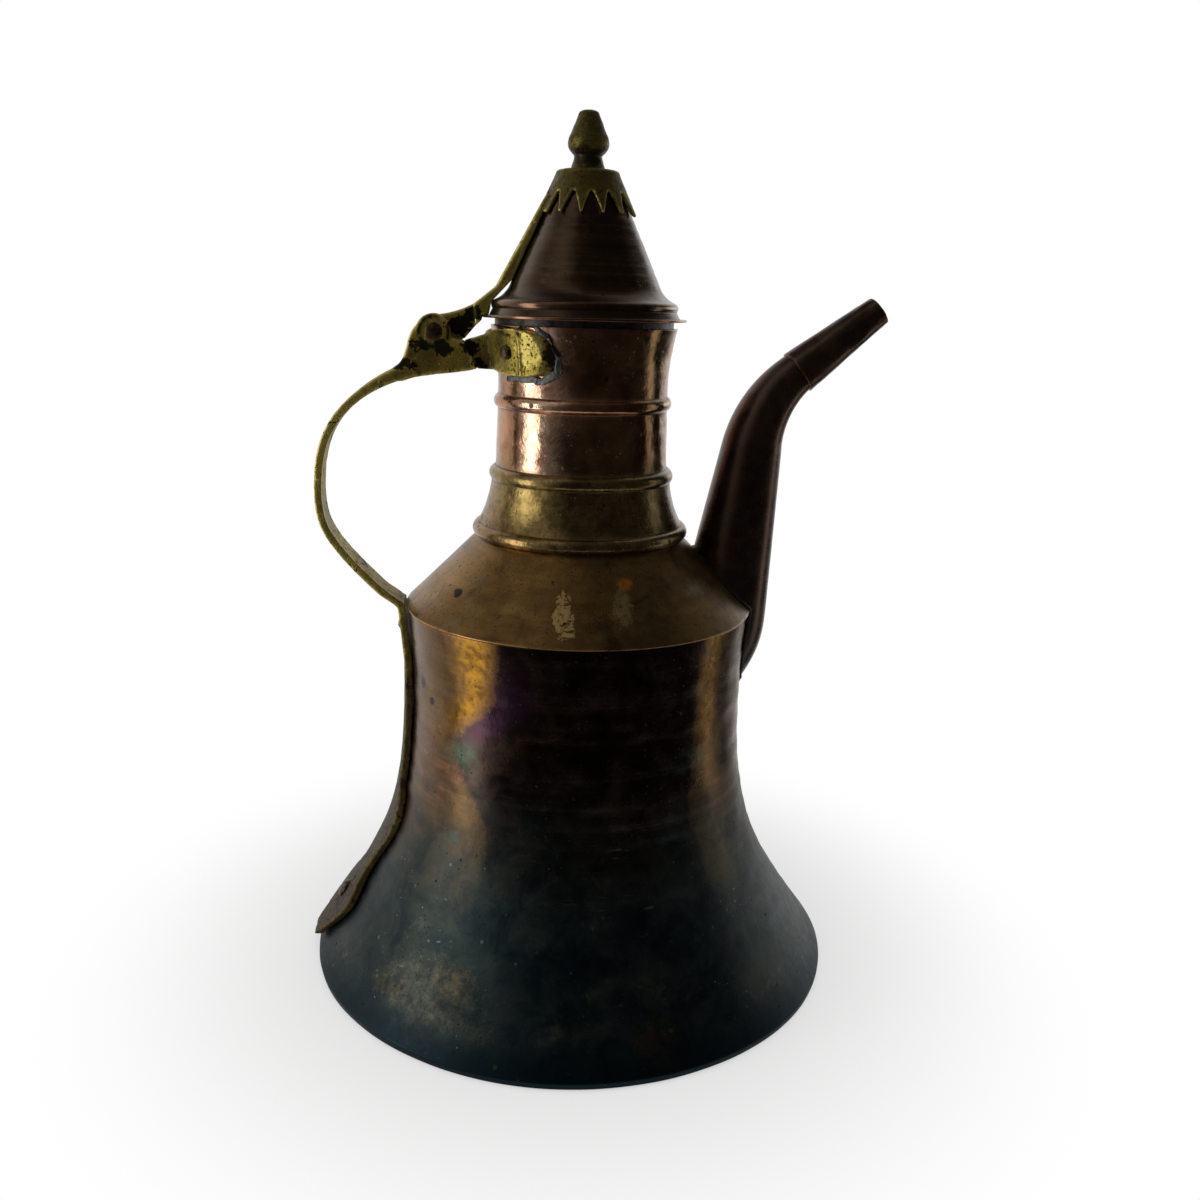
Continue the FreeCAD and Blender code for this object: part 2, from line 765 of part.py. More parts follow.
def lid_strap():
    """Bar down the lid's back, standing over the bead and stopping short of the cheeks."""
    start, end = strap_line()
    riser = lid_inside_foot() + lid_sheet
    over_bead = at(-(riser + lid_bead + seat_gap), flange_z + riser_height + 2.0)
    on_flange = at(-(riser + riser_flare + seat_gap), flange_z + lid_sheet + seat_gap)
    edge_top = at(-(flange_radius + seat_gap), flange_z + lid_sheet + seat_gap)
    edge_low = at(-(flange_radius + seat_gap), flange_z - 0.6)
    cone_foot = at(-(flare_radius + seat_gap), flange_z + flare_rise)
    top_in = at(-(cone_radius(start.z) + seat_gap), start.z)
    neck_low = near_pin(2.37, 0.43)
    neck_top = near_pin(2.27, 1.53)
    points = [start, end, neck_top, neck_low, edge_low, edge_top]
    points += [on_flange, over_bead, cone_foot, top_in, start]
    return slab(lines(points), lid_strap_half_width)


def knuckle():
    high = round_pin(knuckle_radius, 82)
    low = round_pin(knuckle_radius, -62)
    edges = [arc(high, round_pin(knuckle_radius, 180), low)]
    shoulder_top = near_pin(2.27, 1.53)
    edges += lines([low, near_pin(1.72, -0.33), near_pin(2.4, 0.47), near_pin(2.47, 1.33), shoulder_top])
    edges.append(curve([shoulder_top, near_pin(1.43, 1.17), near_pin(0.7, 0.97), high]))
    return slab(edges, knuckle_half_width)


def crown_strap():
    body = crown().fuse([lid_strap(), knuckle()])
    return body.cut(pin_hole(pin_radius + pin_clearance)).removeSplitter()


def finial_base():
    return lid_top + 2 * seat_gap + crown_thickness


def finial():
    low = finial_base()
    tall = finial_height
    washer_low = lid_top - lid_sheet - seat_gap - washer_thickness
    head = washer_low - seat_gap
    foot = at(finial_foot_radius, low)
    waist = at(finial_neck_radius, low + tall * 0.26)
    belly = at(finial_radius * 0.94, low + tall * 0.56)
    rim = at(finial_top_radius, low + tall * 0.96)
    top = at(finial_top_radius * 0.5, low + tall)
    tail = tenon_radius * 0.6
    edges = [arc(foot, at(finial_neck_radius * 1.08, low + tall * 0.13), waist)]
    edges.append(arc(waist, at(finial_radius, low + tall * 0.44), belly))
    edges.append(line(belly, rim))
    edges.append(arc(rim, at(finial_top_radius * 0.8, low + tall * 0.985), top))
    edges += lines([top, at(0, low + tall), at(0, head - tail)])
    edges.append(dome_edge(tenon_radius * 1.6, head, -tail))
    edges += lines([at(tenon_radius * 1.6, head), at(tenon_radius, head), at(tenon_radius, low)])
    edges.append(line(at(tenon_radius, low), at(finial_foot_radius, low)))
    return turned(edges)


def finial_washer():
    low = lid_top - lid_sheet - seat_gap - washer_thickness
    hole = tenon_radius + rivet_clearance
    edges = lines([at(hole, low), at(washer_radius, low), at(washer_radius, low + washer_thickness),
                   at(hole, low + washer_thickness), at(hole, low)])
    return turned(edges)


def build():
    strap = handle()
    wall = lower_body().cut(foot_rivet_shank(rivet_clearance))
    neck_tube = neck().cut(saddle_rivet_shanks(rivet_clearance))
    saddle = neck_saddle()
    return {
        "lower_body": wall,
        "bottom_plate": bottom_plate(),
        "shoulder": shoulder(),
        "neck": neck_tube,
        "spout_tube": spout_tube(),
        "spout_tip": spout_tip(),
        "spout_solder": spout_solder_ring(),
        "handle": strap,
        "foot_rivet": foot_rivet(strap, wall),
        "neck_saddle": saddle,
        "saddle_rivets": saddle_rivets(saddle, neck_tube),
        "saddle_solder": saddle_solder_pads(),
        "hinge_pin": hinge_pin(),
        "lid_cone": lid_cone(),
        "lid_plug": lid_plug(),
        "crown_strap": crown_strap(),
        "finial": finial(),
        "finial_washer": finial_washer(),
    }


os.makedirs("parts", exist_ok=True)
for name, shape in build().items():
    shape.exportStep("parts/" + name + ".step")
    print(name, "solids", len(shape.Solids), "valid", shape.isValid(), "volume", round(shape.Volume, 1))
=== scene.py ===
# %% [markdown]
# # A copper coffee pot with a long spout and a hinged lid
#
# The pot is raised from thin copper sheet: a wide bell, a sloping shoulder, a ringed neck and a
# bent spout. Its handle, the saddle on the neck, and the crown with its strap and knob are brass.
# The measured solids are loaded first and stay where they are. Each later step makes one kind of
# piece over them, in metres and in the same place, and says how it was made.

import math

import bmesh
import bpy
import numpy as np
from mathutils import Matrix, Vector


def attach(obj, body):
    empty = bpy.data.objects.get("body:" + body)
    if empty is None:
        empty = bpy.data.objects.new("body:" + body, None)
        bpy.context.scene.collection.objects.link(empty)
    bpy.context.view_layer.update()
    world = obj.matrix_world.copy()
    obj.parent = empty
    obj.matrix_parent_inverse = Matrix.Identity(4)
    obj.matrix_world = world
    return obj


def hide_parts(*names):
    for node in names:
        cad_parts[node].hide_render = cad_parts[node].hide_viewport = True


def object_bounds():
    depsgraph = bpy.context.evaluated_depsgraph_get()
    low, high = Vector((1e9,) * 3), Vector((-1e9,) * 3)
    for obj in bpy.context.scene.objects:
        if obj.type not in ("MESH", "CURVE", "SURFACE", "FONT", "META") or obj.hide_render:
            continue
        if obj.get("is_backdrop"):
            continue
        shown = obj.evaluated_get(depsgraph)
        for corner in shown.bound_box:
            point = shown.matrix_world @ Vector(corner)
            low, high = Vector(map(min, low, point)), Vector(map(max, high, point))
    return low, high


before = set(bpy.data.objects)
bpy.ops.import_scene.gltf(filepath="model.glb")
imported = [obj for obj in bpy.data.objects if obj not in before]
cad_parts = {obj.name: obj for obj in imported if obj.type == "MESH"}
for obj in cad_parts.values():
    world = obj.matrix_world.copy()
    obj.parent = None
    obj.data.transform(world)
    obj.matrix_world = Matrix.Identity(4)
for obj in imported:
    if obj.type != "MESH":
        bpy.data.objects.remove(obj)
cad_box = [list(corner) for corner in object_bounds()]
scene = bpy.context.scene
scene.view_settings.view_transform = "Standard"
mm = 0.001
print("solids", len(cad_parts), "box", [[round(value, 4) for value in corner] for corner in cad_box])

# %% [markdown]
# ## Sums with sockets
#
# Materials and geometry trees are both nets of nodes. Laying nodes one by one makes long scripts, so
# one small class wraps a socket and lets ordinary sums build the Math nodes. Every other node comes
# from one method that takes its type, its settings, and then the values or links of its sockets.

# %% A socket that can be used in sums
class Field:
    def __init__(self, net, socket):
        self.net = net
        self.socket = socket

    def __add__(self, other):
        return self.net.sum("ADD", self, other)

    __radd__ = __add__

    def __sub__(self, other):
        return self.net.sum("SUBTRACT", self, other)

    def __rsub__(self, other):
        return self.net.sum("SUBTRACT", other, self)

    def __mul__(self, other):
        return self.net.sum("MULTIPLY", self, other)

    __rmul__ = __mul__

    def __truediv__(self, other):
        return self.net.sum("DIVIDE", self, other)

    def __rtruediv__(self, other):
        return self.net.sum("DIVIDE", other, self)

    def call(self, operation, other=0.0):
        return self.net.sum(operation, self, other)

    def ramp(self, low, high):
        """0 below low and 1 above high, with a soft change between; low may be the larger."""
        sockets = {"Value": self, "From Min": low, "From Max": high}
        return self.net.node("ShaderNodeMapRange", {"interpolation_type": "SMOOTHSTEP"}, sockets, "Result")

    def hump(self, middle, width):
        """1 at the middle, 0 at a width away."""
        return 1 - (self - middle).call("ABSOLUTE").ramp(0.0, width)

    def clip(self):
        return self.net.node("ShaderNodeClamp", {}, {"Value": self}, "Result")


print("sockets can be used in sums")


# %% The net that holds the nodes
def find_socket(sockets, key):
    if isinstance(key, int):
        return sockets[key]
    for socket in sockets:
        if socket.identifier == key:
            return socket
    for socket in sockets:
        if socket.name == key and socket.enabled:
            return socket
    raise KeyError(key)


class Net:
    def __init__(self, tree):
        self.tree = tree

    def node(self, kind, settings=(), sockets=(), out=0):
        made = self.tree.nodes.new(kind)
        for key, value in dict(settings).items():
            setattr(made, key, value)
        for key, value in dict(sockets).items():
            target = find_socket(made.inputs, key)
            if isinstance(value, Field):
                self.tree.links.new(value.socket, target)
            else:
                target.default_value = value
        return Field(self, find_socket(made.outputs, out)) if made.outputs else None

    def sum(self, operation, first, second):
        return self.node("ShaderNodeMath", {"operation": operation}, {0: first, 1: second}, "Value")

    def vector_sum(self, operation, first, second=(0.0, 0.0, 0.0), out="Vector"):
        return self.node("ShaderNodeVectorMath", {"operation": operation}, {0: first, 1: second}, out)

    def mix(self, factor, first, second):
        settings = {"data_type": "RGBA", "blend_type": "MIX"}
        sockets = {"Factor_Float": factor, "A_Color": first, "B_Color": second}
        return self.node("ShaderNodeMix", settings, sockets, "Result_Color")

    def vector(self, x, y, z):
        return self.node("ShaderNodeCombineXYZ", {}, {"X": x, "Y": y, "Z": z}, "Vector")

    def others(self, field, names):
        """More outputs of the node that a field comes from."""
        return [Field(self, field.socket.node.outputs[name]) for name in names]

    def parts(self, vector):
        first = self.node("ShaderNodeSeparateXYZ", {}, {"Vector": vector}, "X")
        return self.others(first, ("X", "Y", "Z"))

    def noise(self, vector, scale, detail=2.0, rough=0.5, warp=0.0):
        sockets = {"Vector": vector, "Scale": scale, "Detail": detail}
        sockets.update({"Roughness": rough, "Distortion": warp})
        return self.node("ShaderNodeTexNoise", {"noise_dimensions": "3D"}, sockets, 0)


def tone(red, green, blue):
    """A screen colour from 0 to 255 as the linear colour that a node takes."""
    linear = []
    for value in (red, green, blue):
        share = value / 255
        linear.append(share / 12.92 if share <= 0.04045 else ((share + 0.055) / 1.055) ** 2.4)
    return (*linear, 1.0)


print("middle grey in linear light", round(tone(128, 128, 128)[0], 4))

# %% [markdown]
# ## What every finish knows about its place
#
# Old metal is never one colour. Lathe marks run round the pot, dark bloom lies in patches, pits and
# specks are scattered, edges are rubbed bright and corners hold dirt. All of these are read from the
# object's own coordinates and from three values stored in each mesh: how much an edge is rubbed, how
# deep a corner is, and whether a face is inside. They are gathered in one class, which also keeps the
# colour and the roughness that have been laid so far, so a layer of dirt is one short call.

# %% A metal in the making
def start_material(name):
    made = bpy.data.materials.new(name)
    made.use_nodes = True
    made.node_tree.nodes.clear()
    return made, Net(made.node_tree)


class Metal:
    """Marks that can lie on a metal, with the colour and the roughness that have been laid so far."""

    film_rough = 0.12

    def __init__(self, name):
        self.made, self.net = start_material(name)
        self.place = self.net.node("ShaderNodeTexCoord", out="Object")
        self.x, self.y, self.z = self.net.parts(self.place)
        self.radius = (self.x * self.x + self.y * self.y).call("SQRT")
        self.swing = self.x.call("ARCTAN2", -1 * self.y)
        self.rubbed, self.deep, self.inside = [self.stored(name) for name in ("rubbed", "deep", "inside")]
        self.cloud = self.noise(26.0, 5.0, 0.6, 0.4)
        self.blotch = self.noise(75.0, 6.0, 0.62, 0.6)
        self.mottle = self.noise(190.0, 4.0, 0.6, 0.3)
        self.ragged = self.noise(420.0, 5.0, 0.65)
        self.grain = self.noise(900.0, 4.0, 0.6)

    def stored(self, name):
        return self.net.node("ShaderNodeAttribute", {"attribute_name": name}, {}, "Fac")

    def noise(self, scale, detail, rough, warp=0.0):
        return self.net.noise(self.place, scale, detail, rough, warp)

    def between(self, share, first, second):
        return self.net.mix(share, first, second)

    def lay(self, share, colour):
        """Cover the metal with a colour by a share from 0 to 1."""
        self.colour = self.net.mix(share, self.colour, colour)

    def spun(self, lines_per_metre, wander=0.35):
        """Fine lines that run round the pot's axis, broken up along their length."""
        turn_x = self.swing.call("COSINE") * wander
        turn_y = self.swing.call("SINE") * wander
        along = (self.z - self.radius * 0.8) * lines_per_metre
        return self.net.noise(self.net.vector(turn_x, turn_y, along), 1.0, 3.0, 0.65)

    def specks(self, scale, size, share):
        """Scattered ragged spots: 1 inside a spot; the share says how many cells have one."""
        sockets = {"Vector": self.place, "Scale": scale}
        cells = self.net.node("ShaderNodeTexVoronoi", {"feature": "F1"}, sockets, "Distance")
        pick, span = self.net.parts(self.net.others(cells, ("Color",))[0])[:2]
        reach = size * (0.35 + span * 0.65)
        inside = 1 - ((cells + (self.ragged - 0.5) * size * 1.1) / reach).ramp(0.7, 1.1)
        return inside * pick.ramp(1 - share, 1 - share * 0.8)

    def pores(self, scale, share):
        """Casting pits: irregular holes that come in crowds."""
        holes = self.noise(scale, 4.0, 0.6, 0.3).ramp(0.66 - share, 0.72 - share)
        return holes * self.cloud.ramp(0.3, 0.55)

    def scratches(self, turn, scale, share):
        """Thin straight strokes in one direction."""
        sockets = {"Vector": self.place, "Rotation": turn, "Scale": (scale * 0.06, scale * 0.8, scale)}
        turned_place = self.net.node("ShaderNodeMapping", {"vector_type": "POINT"}, sockets, "Vector")
        return self.net.noise(turned_place, 1.0).ramp(0.76 - share, 0.80 - share)

    def patch(self, middle, size, ragged=0.5, soft=0.14):
        """A patch with a ragged edge round a place on the pot; all in millimetres."""
        away = self.net.vector_sum("SUBTRACT", self.place, tuple(value * mm for value in middle))
        scaled = self.net.vector_sum("DIVIDE", away, tuple(value * mm for value in size))
        far = self.net.vector_sum("LENGTH", scaled, out="Value")
        edge = (self.mottle - 0.5) * 1.8 + (self.ragged - 0.5) * 1.6 + (self.grain - 0.5) * 1.4
        return 1 - (far + edge * ragged).ramp(1 - soft, 1.0)

    def close(self, shine, height, depth, film=0.0):
        """Finish the metal: a height field, at a depth in metres, makes the bump; film is a clear coat."""
        sockets = {"Strength": 1.0, "Distance": depth, "Height": height}
        bump = self.net.node("ShaderNodeBump", {}, sockets, "Normal")
        sockets = {"Base Color": self.colour, "Roughness": self.rough.clip(), "Metallic": shine.clip()}
        sockets.update({"Normal": bump, "Coat Weight": film, "Coat Roughness": self.film_rough})
        shader = self.net.node("ShaderNodeBsdfPrincipled", {}, sockets, "BSDF")
        self.net.node("ShaderNodeOutputMaterial", {}, {"Surface": shader})
        return self.made


print("marks for every metal are ready")

# %% [markdown]
# ## Copper with age on it
#
# One rule makes all the copper: a dark and a light brown mixed by cloudy bloom, lathe lines on top,
# rubbed edges in clean copper, pits that are nearly black, green spots, and tin inside. What differs
# from piece to piece is handed in as tones and as a list of extra layers, such as the blue-black smoke
# on the skirt of the bell. A painted texture could show the same, but it would need unwrapping and an
# image.

# %% The rule for copper
tin = tone(120, 116, 108)
pit_black = tone(16, 13, 12)
copper_green = tone(66, 92, 70)
copper_relief = 0.0002


def copper(name, tones, layers, lines, rough, pits, spun_share=0.5, beaten=0.3, film=0.0):
    """Dark, light and bright tones; lines per metre; beaten says how far hammer marks break the shine."""
    metal = Metal(name)
    dark, light, bright = tones
    lathe = metal.spun(lines)
    bands = metal.spun(lines * 0.12, 0.2)
    shade = metal.cloud * 0.9 + metal.blotch * 0.6 + metal.mottle * 0.2 + (bands - 0.5) * 0.4 - 0.35
    shade = shade + (lathe - 0.5) * spun_share * 0.5
    metal.colour = metal.between(shade.ramp(0.2, 0.85), dark, light)
    rub = (metal.rubbed * (metal.blotch * 1.6 - 0.2)).clip() * 0.7
    metal.lay(rub, bright)
    metal.rough = rough + (metal.blotch - 0.5) * 0.24 + (metal.mottle - 0.5) * 0.24
    metal.rough = metal.rough + (lathe - 0.5) * 0.06 - rub * 0.06
    for layer in layers:
        layer(metal)
    pitted = (metal.specks(330.0, 0.20, pits) + metal.specks(800.0, 0.26, pits * 1.5)).clip()
    metal.lay(pitted * 0.85, pit_black)
    peppered = metal.specks(1700.0, 0.40, 0.45) * metal.cloud.ramp(0.35, 0.6)
    metal.lay(peppered * pits * 3.5, pit_black)
    metal.lay(metal.specks(150.0, 0.16, 0.05) * 0.4, copper_green)
    metal.lay(metal.deep * (0.5 + metal.blotch * 0.6), pit_black)
    metal.lay(metal.inside, tin)
    metal.rough = metal.rough + pitted * 0.25 + metal.deep * 0.2
    height = metal.grain * 0.12 + lathe * 0.4 * spun_share + metal.mottle * beaten + metal.ragged * 0.12
    height = height + metal.blotch * 0.5 - pitted * 0.25
    return metal.close(0.99 - pitted * 0.2 - metal.deep * 0.2, height, copper_relief, film)


# %% Layers on the bell: heat tint, painted light and shade on the front, and smoke
def heat_bloom(metal):
    """Faint violet and teal bloom, and straw streaks, that heat leaves all round the bell."""
    drift = metal.noise(30.0, 4.0, 0.5, 0.8)
    violet = drift.ramp(0.52, 0.66) * metal.z.hump(0.100, 0.05)
    metal.lay(violet * 0.35, tone(70, 42, 58))
    teal = (1 - drift).ramp(0.54, 0.66) * metal.z.hump(0.080, 0.035)
    metal.lay(teal * 0.3, tone(60, 78, 66))
    straw = metal.spun(150.0, 1.4).ramp(0.50, 0.68) * metal.z.hump(0.080, 0.030)
    metal.lay(straw * metal.blotch.ramp(0.35, 0.6) * 0.45, tone(160, 112, 68))


def front_shade_and_gold_highlight(metal):
    """The side towards the camera: a peppered gold painted highlight at its left edge, violet and teal heat
    tint, then black painted shade over the front.
    """
    left_edge = -0.60 - metal.z.hump(0.091, 0.026) * 0.26
    depth = (metal.swing - left_edge).call("MINIMUM", 0.64 - metal.swing)
    depth = depth + (metal.cloud - 0.5) * 0.30 + (metal.blotch - 0.5) * 0.22 + (metal.ragged - 0.5) * 0.10
    # Painted highlight: a gold band where the left window's reflection lies on the bell.
    gold_highlight = depth.hump(-0.10, 0.15) * metal.z.ramp(0.084, 0.106)
    peppered = metal.between(metal.ragged.ramp(0.36, 0.60), tone(78, 52, 12), tone(122, 86, 24))
    metal.lay(gold_highlight * 0.85, peppered)
    # Painted shade: the side towards the camera is made nearly black.
    front_shade = depth.ramp(-0.01, 0.06)
    black = metal.between(metal.blotch.ramp(0.3, 0.7), tone(24, 20, 21), tone(54, 42, 38))
    metal.lay(front_shade * 0.9, black)
    violet = depth.hump(0.14, 0.22) * metal.z.hump(0.112, 0.022) * (1 - metal.swing.ramp(-0.2, 0.1))
    metal.lay(violet * 0.5, tone(80, 48, 76))
    teal = depth.hump(0.06, 0.20) * (metal.z + (metal.blotch - 0.5) * 0.008).hump(0.092, 0.009)
    metal.lay(teal * metal.mottle.ramp(0.25, 0.6) * 0.6, tone(66, 86, 70))
    metal.rough = metal.rough - front_shade * 0.05


def old_spots(metal):
    """Two larger dark spots beside the handle and a green one further down."""
    for middle, size in (((-56, -23, 111), (1.6, 2.5, 2.6)), ((-53, -29, 106), (1.5, 2.2, 1.6))):
        metal.lay(metal.patch(middle, size, 0.8) * 0.85, pit_black)
    metal.lay(metal.patch((-46, -45, 63), (4.0, 4.0, 2.6), 1.0, 0.7) * 0.4, tone(84, 104, 92))


def smoky_skirt(metal):
    """Blue-black smoke on the lower bell, worn to grey and tan, with a painted sheen on the left flank,
    scratches, flecks and a stain.
    """
    wavy = metal.z + (metal.cloud - 0.5) * 0.05 + (metal.blotch - 0.5) * 0.02
    smoke = wavy.ramp(0.095, 0.038) * 0.95
    uneven = metal.blotch.ramp(0.3, 0.7) * metal.z.ramp(0.0, 0.016)
    metal.lay(smoke, metal.between(uneven, tone(28, 42, 46), tone(54, 64, 61)))
    # Painted highlight: a pale grey patch on the left flank where the window's sheen lies, added to real
    # wear.
    left_flank_sheen = metal.patch((-54, -70, 15), (26, 30, 15), 0.9, 0.6)
    wear_and_sheen = metal.noise(48.0, 6.0, 0.7, 0.5).ramp(0.54, 0.66) * 0.6 + left_flank_sheen * 0.7
    wear_and_sheen = wear_and_sheen.clip() * smoke * metal.z.ramp(0.003, 0.013)
    bare = metal.between(metal.ragged.ramp(0.35, 0.65), tone(66, 66, 60), tone(108, 105, 92))
    metal.lay(wear_and_sheen * metal.blotch.ramp(0.25, 0.6) * 0.8, bare)
    tan = metal.patch((-45, -70, 22), (10, 10, 7), 1.0, 0.7)
    tan = tan + metal.patch((-68, -56, 14), (14, 12, 5), 1.0, 0.8)
    metal.lay(tan.clip() * metal.ragged.ramp(0.35, 0.75) * 0.5, tone(116, 92, 54))
    strokes = metal.scratches((0.4, 0.2, 0.9), 700.0, 0.06) + metal.scratches((1.2, 0.5, 0.1), 600.0, 0.06)
    metal.lay(strokes.clip() * metal.cloud.ramp(0.5, 0.65) * 0.45, tone(136, 134, 126))
    metal.lay(metal.specks(280.0, 0.22, 0.10) * smoke * 0.55, tone(86, 122, 92))
    metal.lay(metal.specks(430.0, 0.13, 0.05) * smoke * 0.7, tone(160, 158, 146))
    stain = metal.patch((20, -92, 11), (9, 22, 8), 1.0, 0.7) * metal.blotch.ramp(0.3, 0.6)
    metal.lay(stain * 0.55, tone(92, 70, 42))
    metal.lay(metal.z.ramp(0.014, 0.003) * 0.6, tone(22, 36, 42))
    metal.rough = metal.rough + smoke * (0.18 + wear_and_sheen * 0.04)


bell_layers = (heat_bloom, front_shade_and_gold_highlight, old_spots, smoky_skirt)
bell_tones = (tone(80, 59, 34), tone(120, 90, 50), tone(200, 140, 86))
lower_copper = copper(
    "lower_copper", bell_tones, bell_layers,
    lines=900.0, rough=0.29, pits=0.12, beaten=0.2,
)
base_tones = (tone(40, 36, 34), tone(84, 66, 50), tone(150, 110, 80))
base_copper = copper("base_copper", base_tones, (), lines=900.0, rough=0.45, pits=0.16)
print("bell finishes", lower_copper.name, base_copper.name)


# %% Layers on the shoulder and the neck
def scraped_shoulder(metal):
    """Two scrapes down to clean metal, a small burn, a dark spot, a paler left side, a dark smear, a
    painted reflection at the right, painted shade over the right side, and darker colour towards the spout.
    """
    # Painted shade: darker over the right side of the shoulder.
    shoulder_right_shade = metal.swing.hump(0.45, 0.75) * (0.5 + metal.cloud * 0.5)
    metal.lay(shoulder_right_shade * 0.6, tone(64, 54, 34))
    smear = metal.noise(60.0, 5.0, 0.6, 0.8).ramp(0.54, 0.68)
    metal.lay(smear * 0.55, tone(56, 44, 28))
    # Paler towards the left side of the shoulder.
    dust = metal.noise(120.0, 5.0, 0.7, 0.4).ramp(0.52, 0.66) * metal.swing.ramp(-0.5, -0.9)
    metal.lay(dust * 0.5, tone(120, 112, 88))
    long_scrape = metal.patch((-9.8, -54, 141.8), (3.4, 11, 8.5), 0.6, 0.06)
    short_scrape = metal.patch((9.2, -50.5, 145.3), (3.6, 10, 7.0), 0.7, 0.25)
    flecks = metal.noise(330.0, 4.0, 0.6, 1.2).ramp(0.52, 0.58)
    metal.lay(long_scrape * 0.92, metal.between(flecks, tone(206, 174, 112), tone(118, 86, 50)))
    metal.lay(short_scrape * metal.ragged.ramp(0.3, 0.55) * 0.8, tone(168, 146, 98))
    burn = metal.patch((10.6, -45.2, 151.0), (3.6, 7, 2.4), 0.6, 0.5)
    metal.lay(burn * metal.grain.ramp(0.3, 0.55) * 0.9, tone(216, 132, 42))
    metal.lay(metal.patch((-43.7, -28.7, 144.4), (2.0, 2.6, 1.8), 0.6) * 0.9, pit_black)
    # Painted reflection: a pale grey-tan patch on the right of the shoulder.
    right_painted_reflection = metal.patch((38, -34, 147), (9, 9, 4), 1.0, 0.9) * metal.mottle.ramp(0.3, 0.6)
    metal.lay(right_painted_reflection * 0.6, tone(150, 138, 112))
    # Darker towards the spout side of the shoulder.
    darker_towards_spout = (metal.x + (metal.cloud - 0.5) * 0.03).ramp(0.030, 0.050)
    metal.lay(darker_towards_spout * 0.3, tone(46, 40, 34))
    metal.rough = metal.rough + long_scrape * 0.2


def rosy_neck(metal):
    """Pink copper above the middle ring, with a painted highlight at the left; dusty brown below; painted
    shade on the right side.
    """
    upper = (metal.z + (metal.blotch - 0.5) * 0.006).ramp(0.182, 0.187)
    rose = metal.between(metal.blotch.ramp(0.3, 0.7), tone(136, 86, 58), tone(196, 142, 106))
    metal.lay(upper * 0.85, rose)
    olive = metal.noise(52.0, 5.0, 0.6, 0.7).ramp(0.48, 0.62)
    metal.lay(olive * (0.75 - upper * 0.45), tone(142, 122, 70))
    smudge = metal.noise(90.0, 5.0, 0.65, 0.9).ramp(0.56, 0.70)
    metal.lay(smudge * 0.55, tone(62, 48, 34))
    dust = metal.ragged.ramp(0.47, 0.60) * (1 - upper) * metal.cloud.ramp(0.35, 0.55)
    metal.lay(dust * 0.5, tone(72, 62, 38))
    # Painted highlight: paler pink on the left of the upper neck.
    neck_pink_highlight = metal.swing.hump(-0.62, 0.55) * upper
    pink = metal.between(metal.mottle.ramp(0.3, 0.7), tone(214, 162, 132), tone(240, 208, 184))
    metal.lay(neck_pink_highlight * 0.7, pink)
    # Painted shade: darker grey-brown over the right side of the neck.
    neck_right_shade = metal.swing.hump(0.9, 0.6)
    grey_brown = metal.between(metal.blotch.ramp(0.35, 0.65), tone(56, 50, 32), tone(100, 92, 56))
    metal.lay(neck_right_shade * 0.75, grey_brown)
    spots = metal.specks(210.0, 0.24, 0.16)
    metal.lay(spots * 0.9, pit_black)
    metal.rough = metal.rough + smudge * 0.12 + spots * 0.2 + (1 - upper) * 0.10


shoulder_tones = (tone(94, 70, 40), tone(156, 120, 66), tone(226, 172, 112))
shoulder_copper = copper(
    "shoulder_copper", shoulder_tones, (scraped_shoulder,),
    lines=1400.0, rough=0.34, pits=0.26, spun_share=0.12, beaten=0.4,
)
neck_tones = (tone(108, 84, 52), tone(160, 130, 84), tone(226, 172, 124))
neck_copper = copper(
    "neck_copper", neck_tones, (rosy_neck,),
    lines=1300.0, rough=0.16, pits=0.14, spun_share=0.2, beaten=1.1,
)
spout_tones = (tone(60, 48, 42), tone(106, 82, 68), tone(180, 130, 96))
spout_copper = copper("spout_copper", spout_tones, (), lines=260.0, rough=0.30, pits=0.08, spun_share=0.25)
lid_tones = (tone(58, 43, 28), tone(88, 66, 43), tone(206, 150, 106))
lid_copper = copper(
    "lid_copper", lid_tones, (),
    lines=2600.0, rough=0.22, pits=0.07, spun_share=0.8, beaten=0.2, film=0.25,
)
print("copper finishes", [made.name for made in bpy.data.materials if made.name.endswith("copper")])

# %% [markdown]
# ## Brass, rivets and solder
#
# The brass pieces are rough castings that were filed on their edges: yellow where fingers rub, olive
# on the flat, and full of black pits. Black-green crust sits round the pin and in the joint with the
# saddle, and the long leaf down the bell is as sooty as the skirt. The top of the crown gets painted
# shade, and so does the knob's lower half, with some dirt at its foot; each leaf of the saddle gets a
# painted highlight in its middle and painted shade at its root and its tip. Rivets are browned by the
# hammer and the fire. The solder on the saddle is grey and lumpy, with painted shade at the leaves'
# tips and along its top, and the bead round the spout is smoked. Painted dirt would do for one view,
# but masks that are worked out from the place hold from every side.

# %% Brass
pin_place = (-51.6, 229.2)
crust_places = [(-62, 218, 2.6), (-56, 225, 2.6), (-49, 224, 3.2), (-43, 231, 3.0), (-40, 224, 2.8)]
crust_places += [(-36, 219, 2.2), (-38, 236, 2.6)]
cast_relief = 0.0003


def brass_crust(metal):
    """Crust in crowds, in places listed as x, z and size, and in a ring round the pin."""
    crust = metal.noise(160.0, 6.0, 0.7, 0.8).ramp(0.57, 0.66)
    for x, z, size in crust_places:
        crust = crust + metal.patch((x, 0, z), (size * 1.3, 30, size), 1.3, 0.1)
    from_pin = metal.net.vector(metal.x - pin_place[0] * mm, 0.0, metal.z - pin_place[1] * mm)
    away = metal.net.vector_sum("LENGTH", from_pin, out="Value")
    return (crust + away.hump(0.0050, 0.0014) * metal.mottle.ramp(0.40, 0.55)).clip()


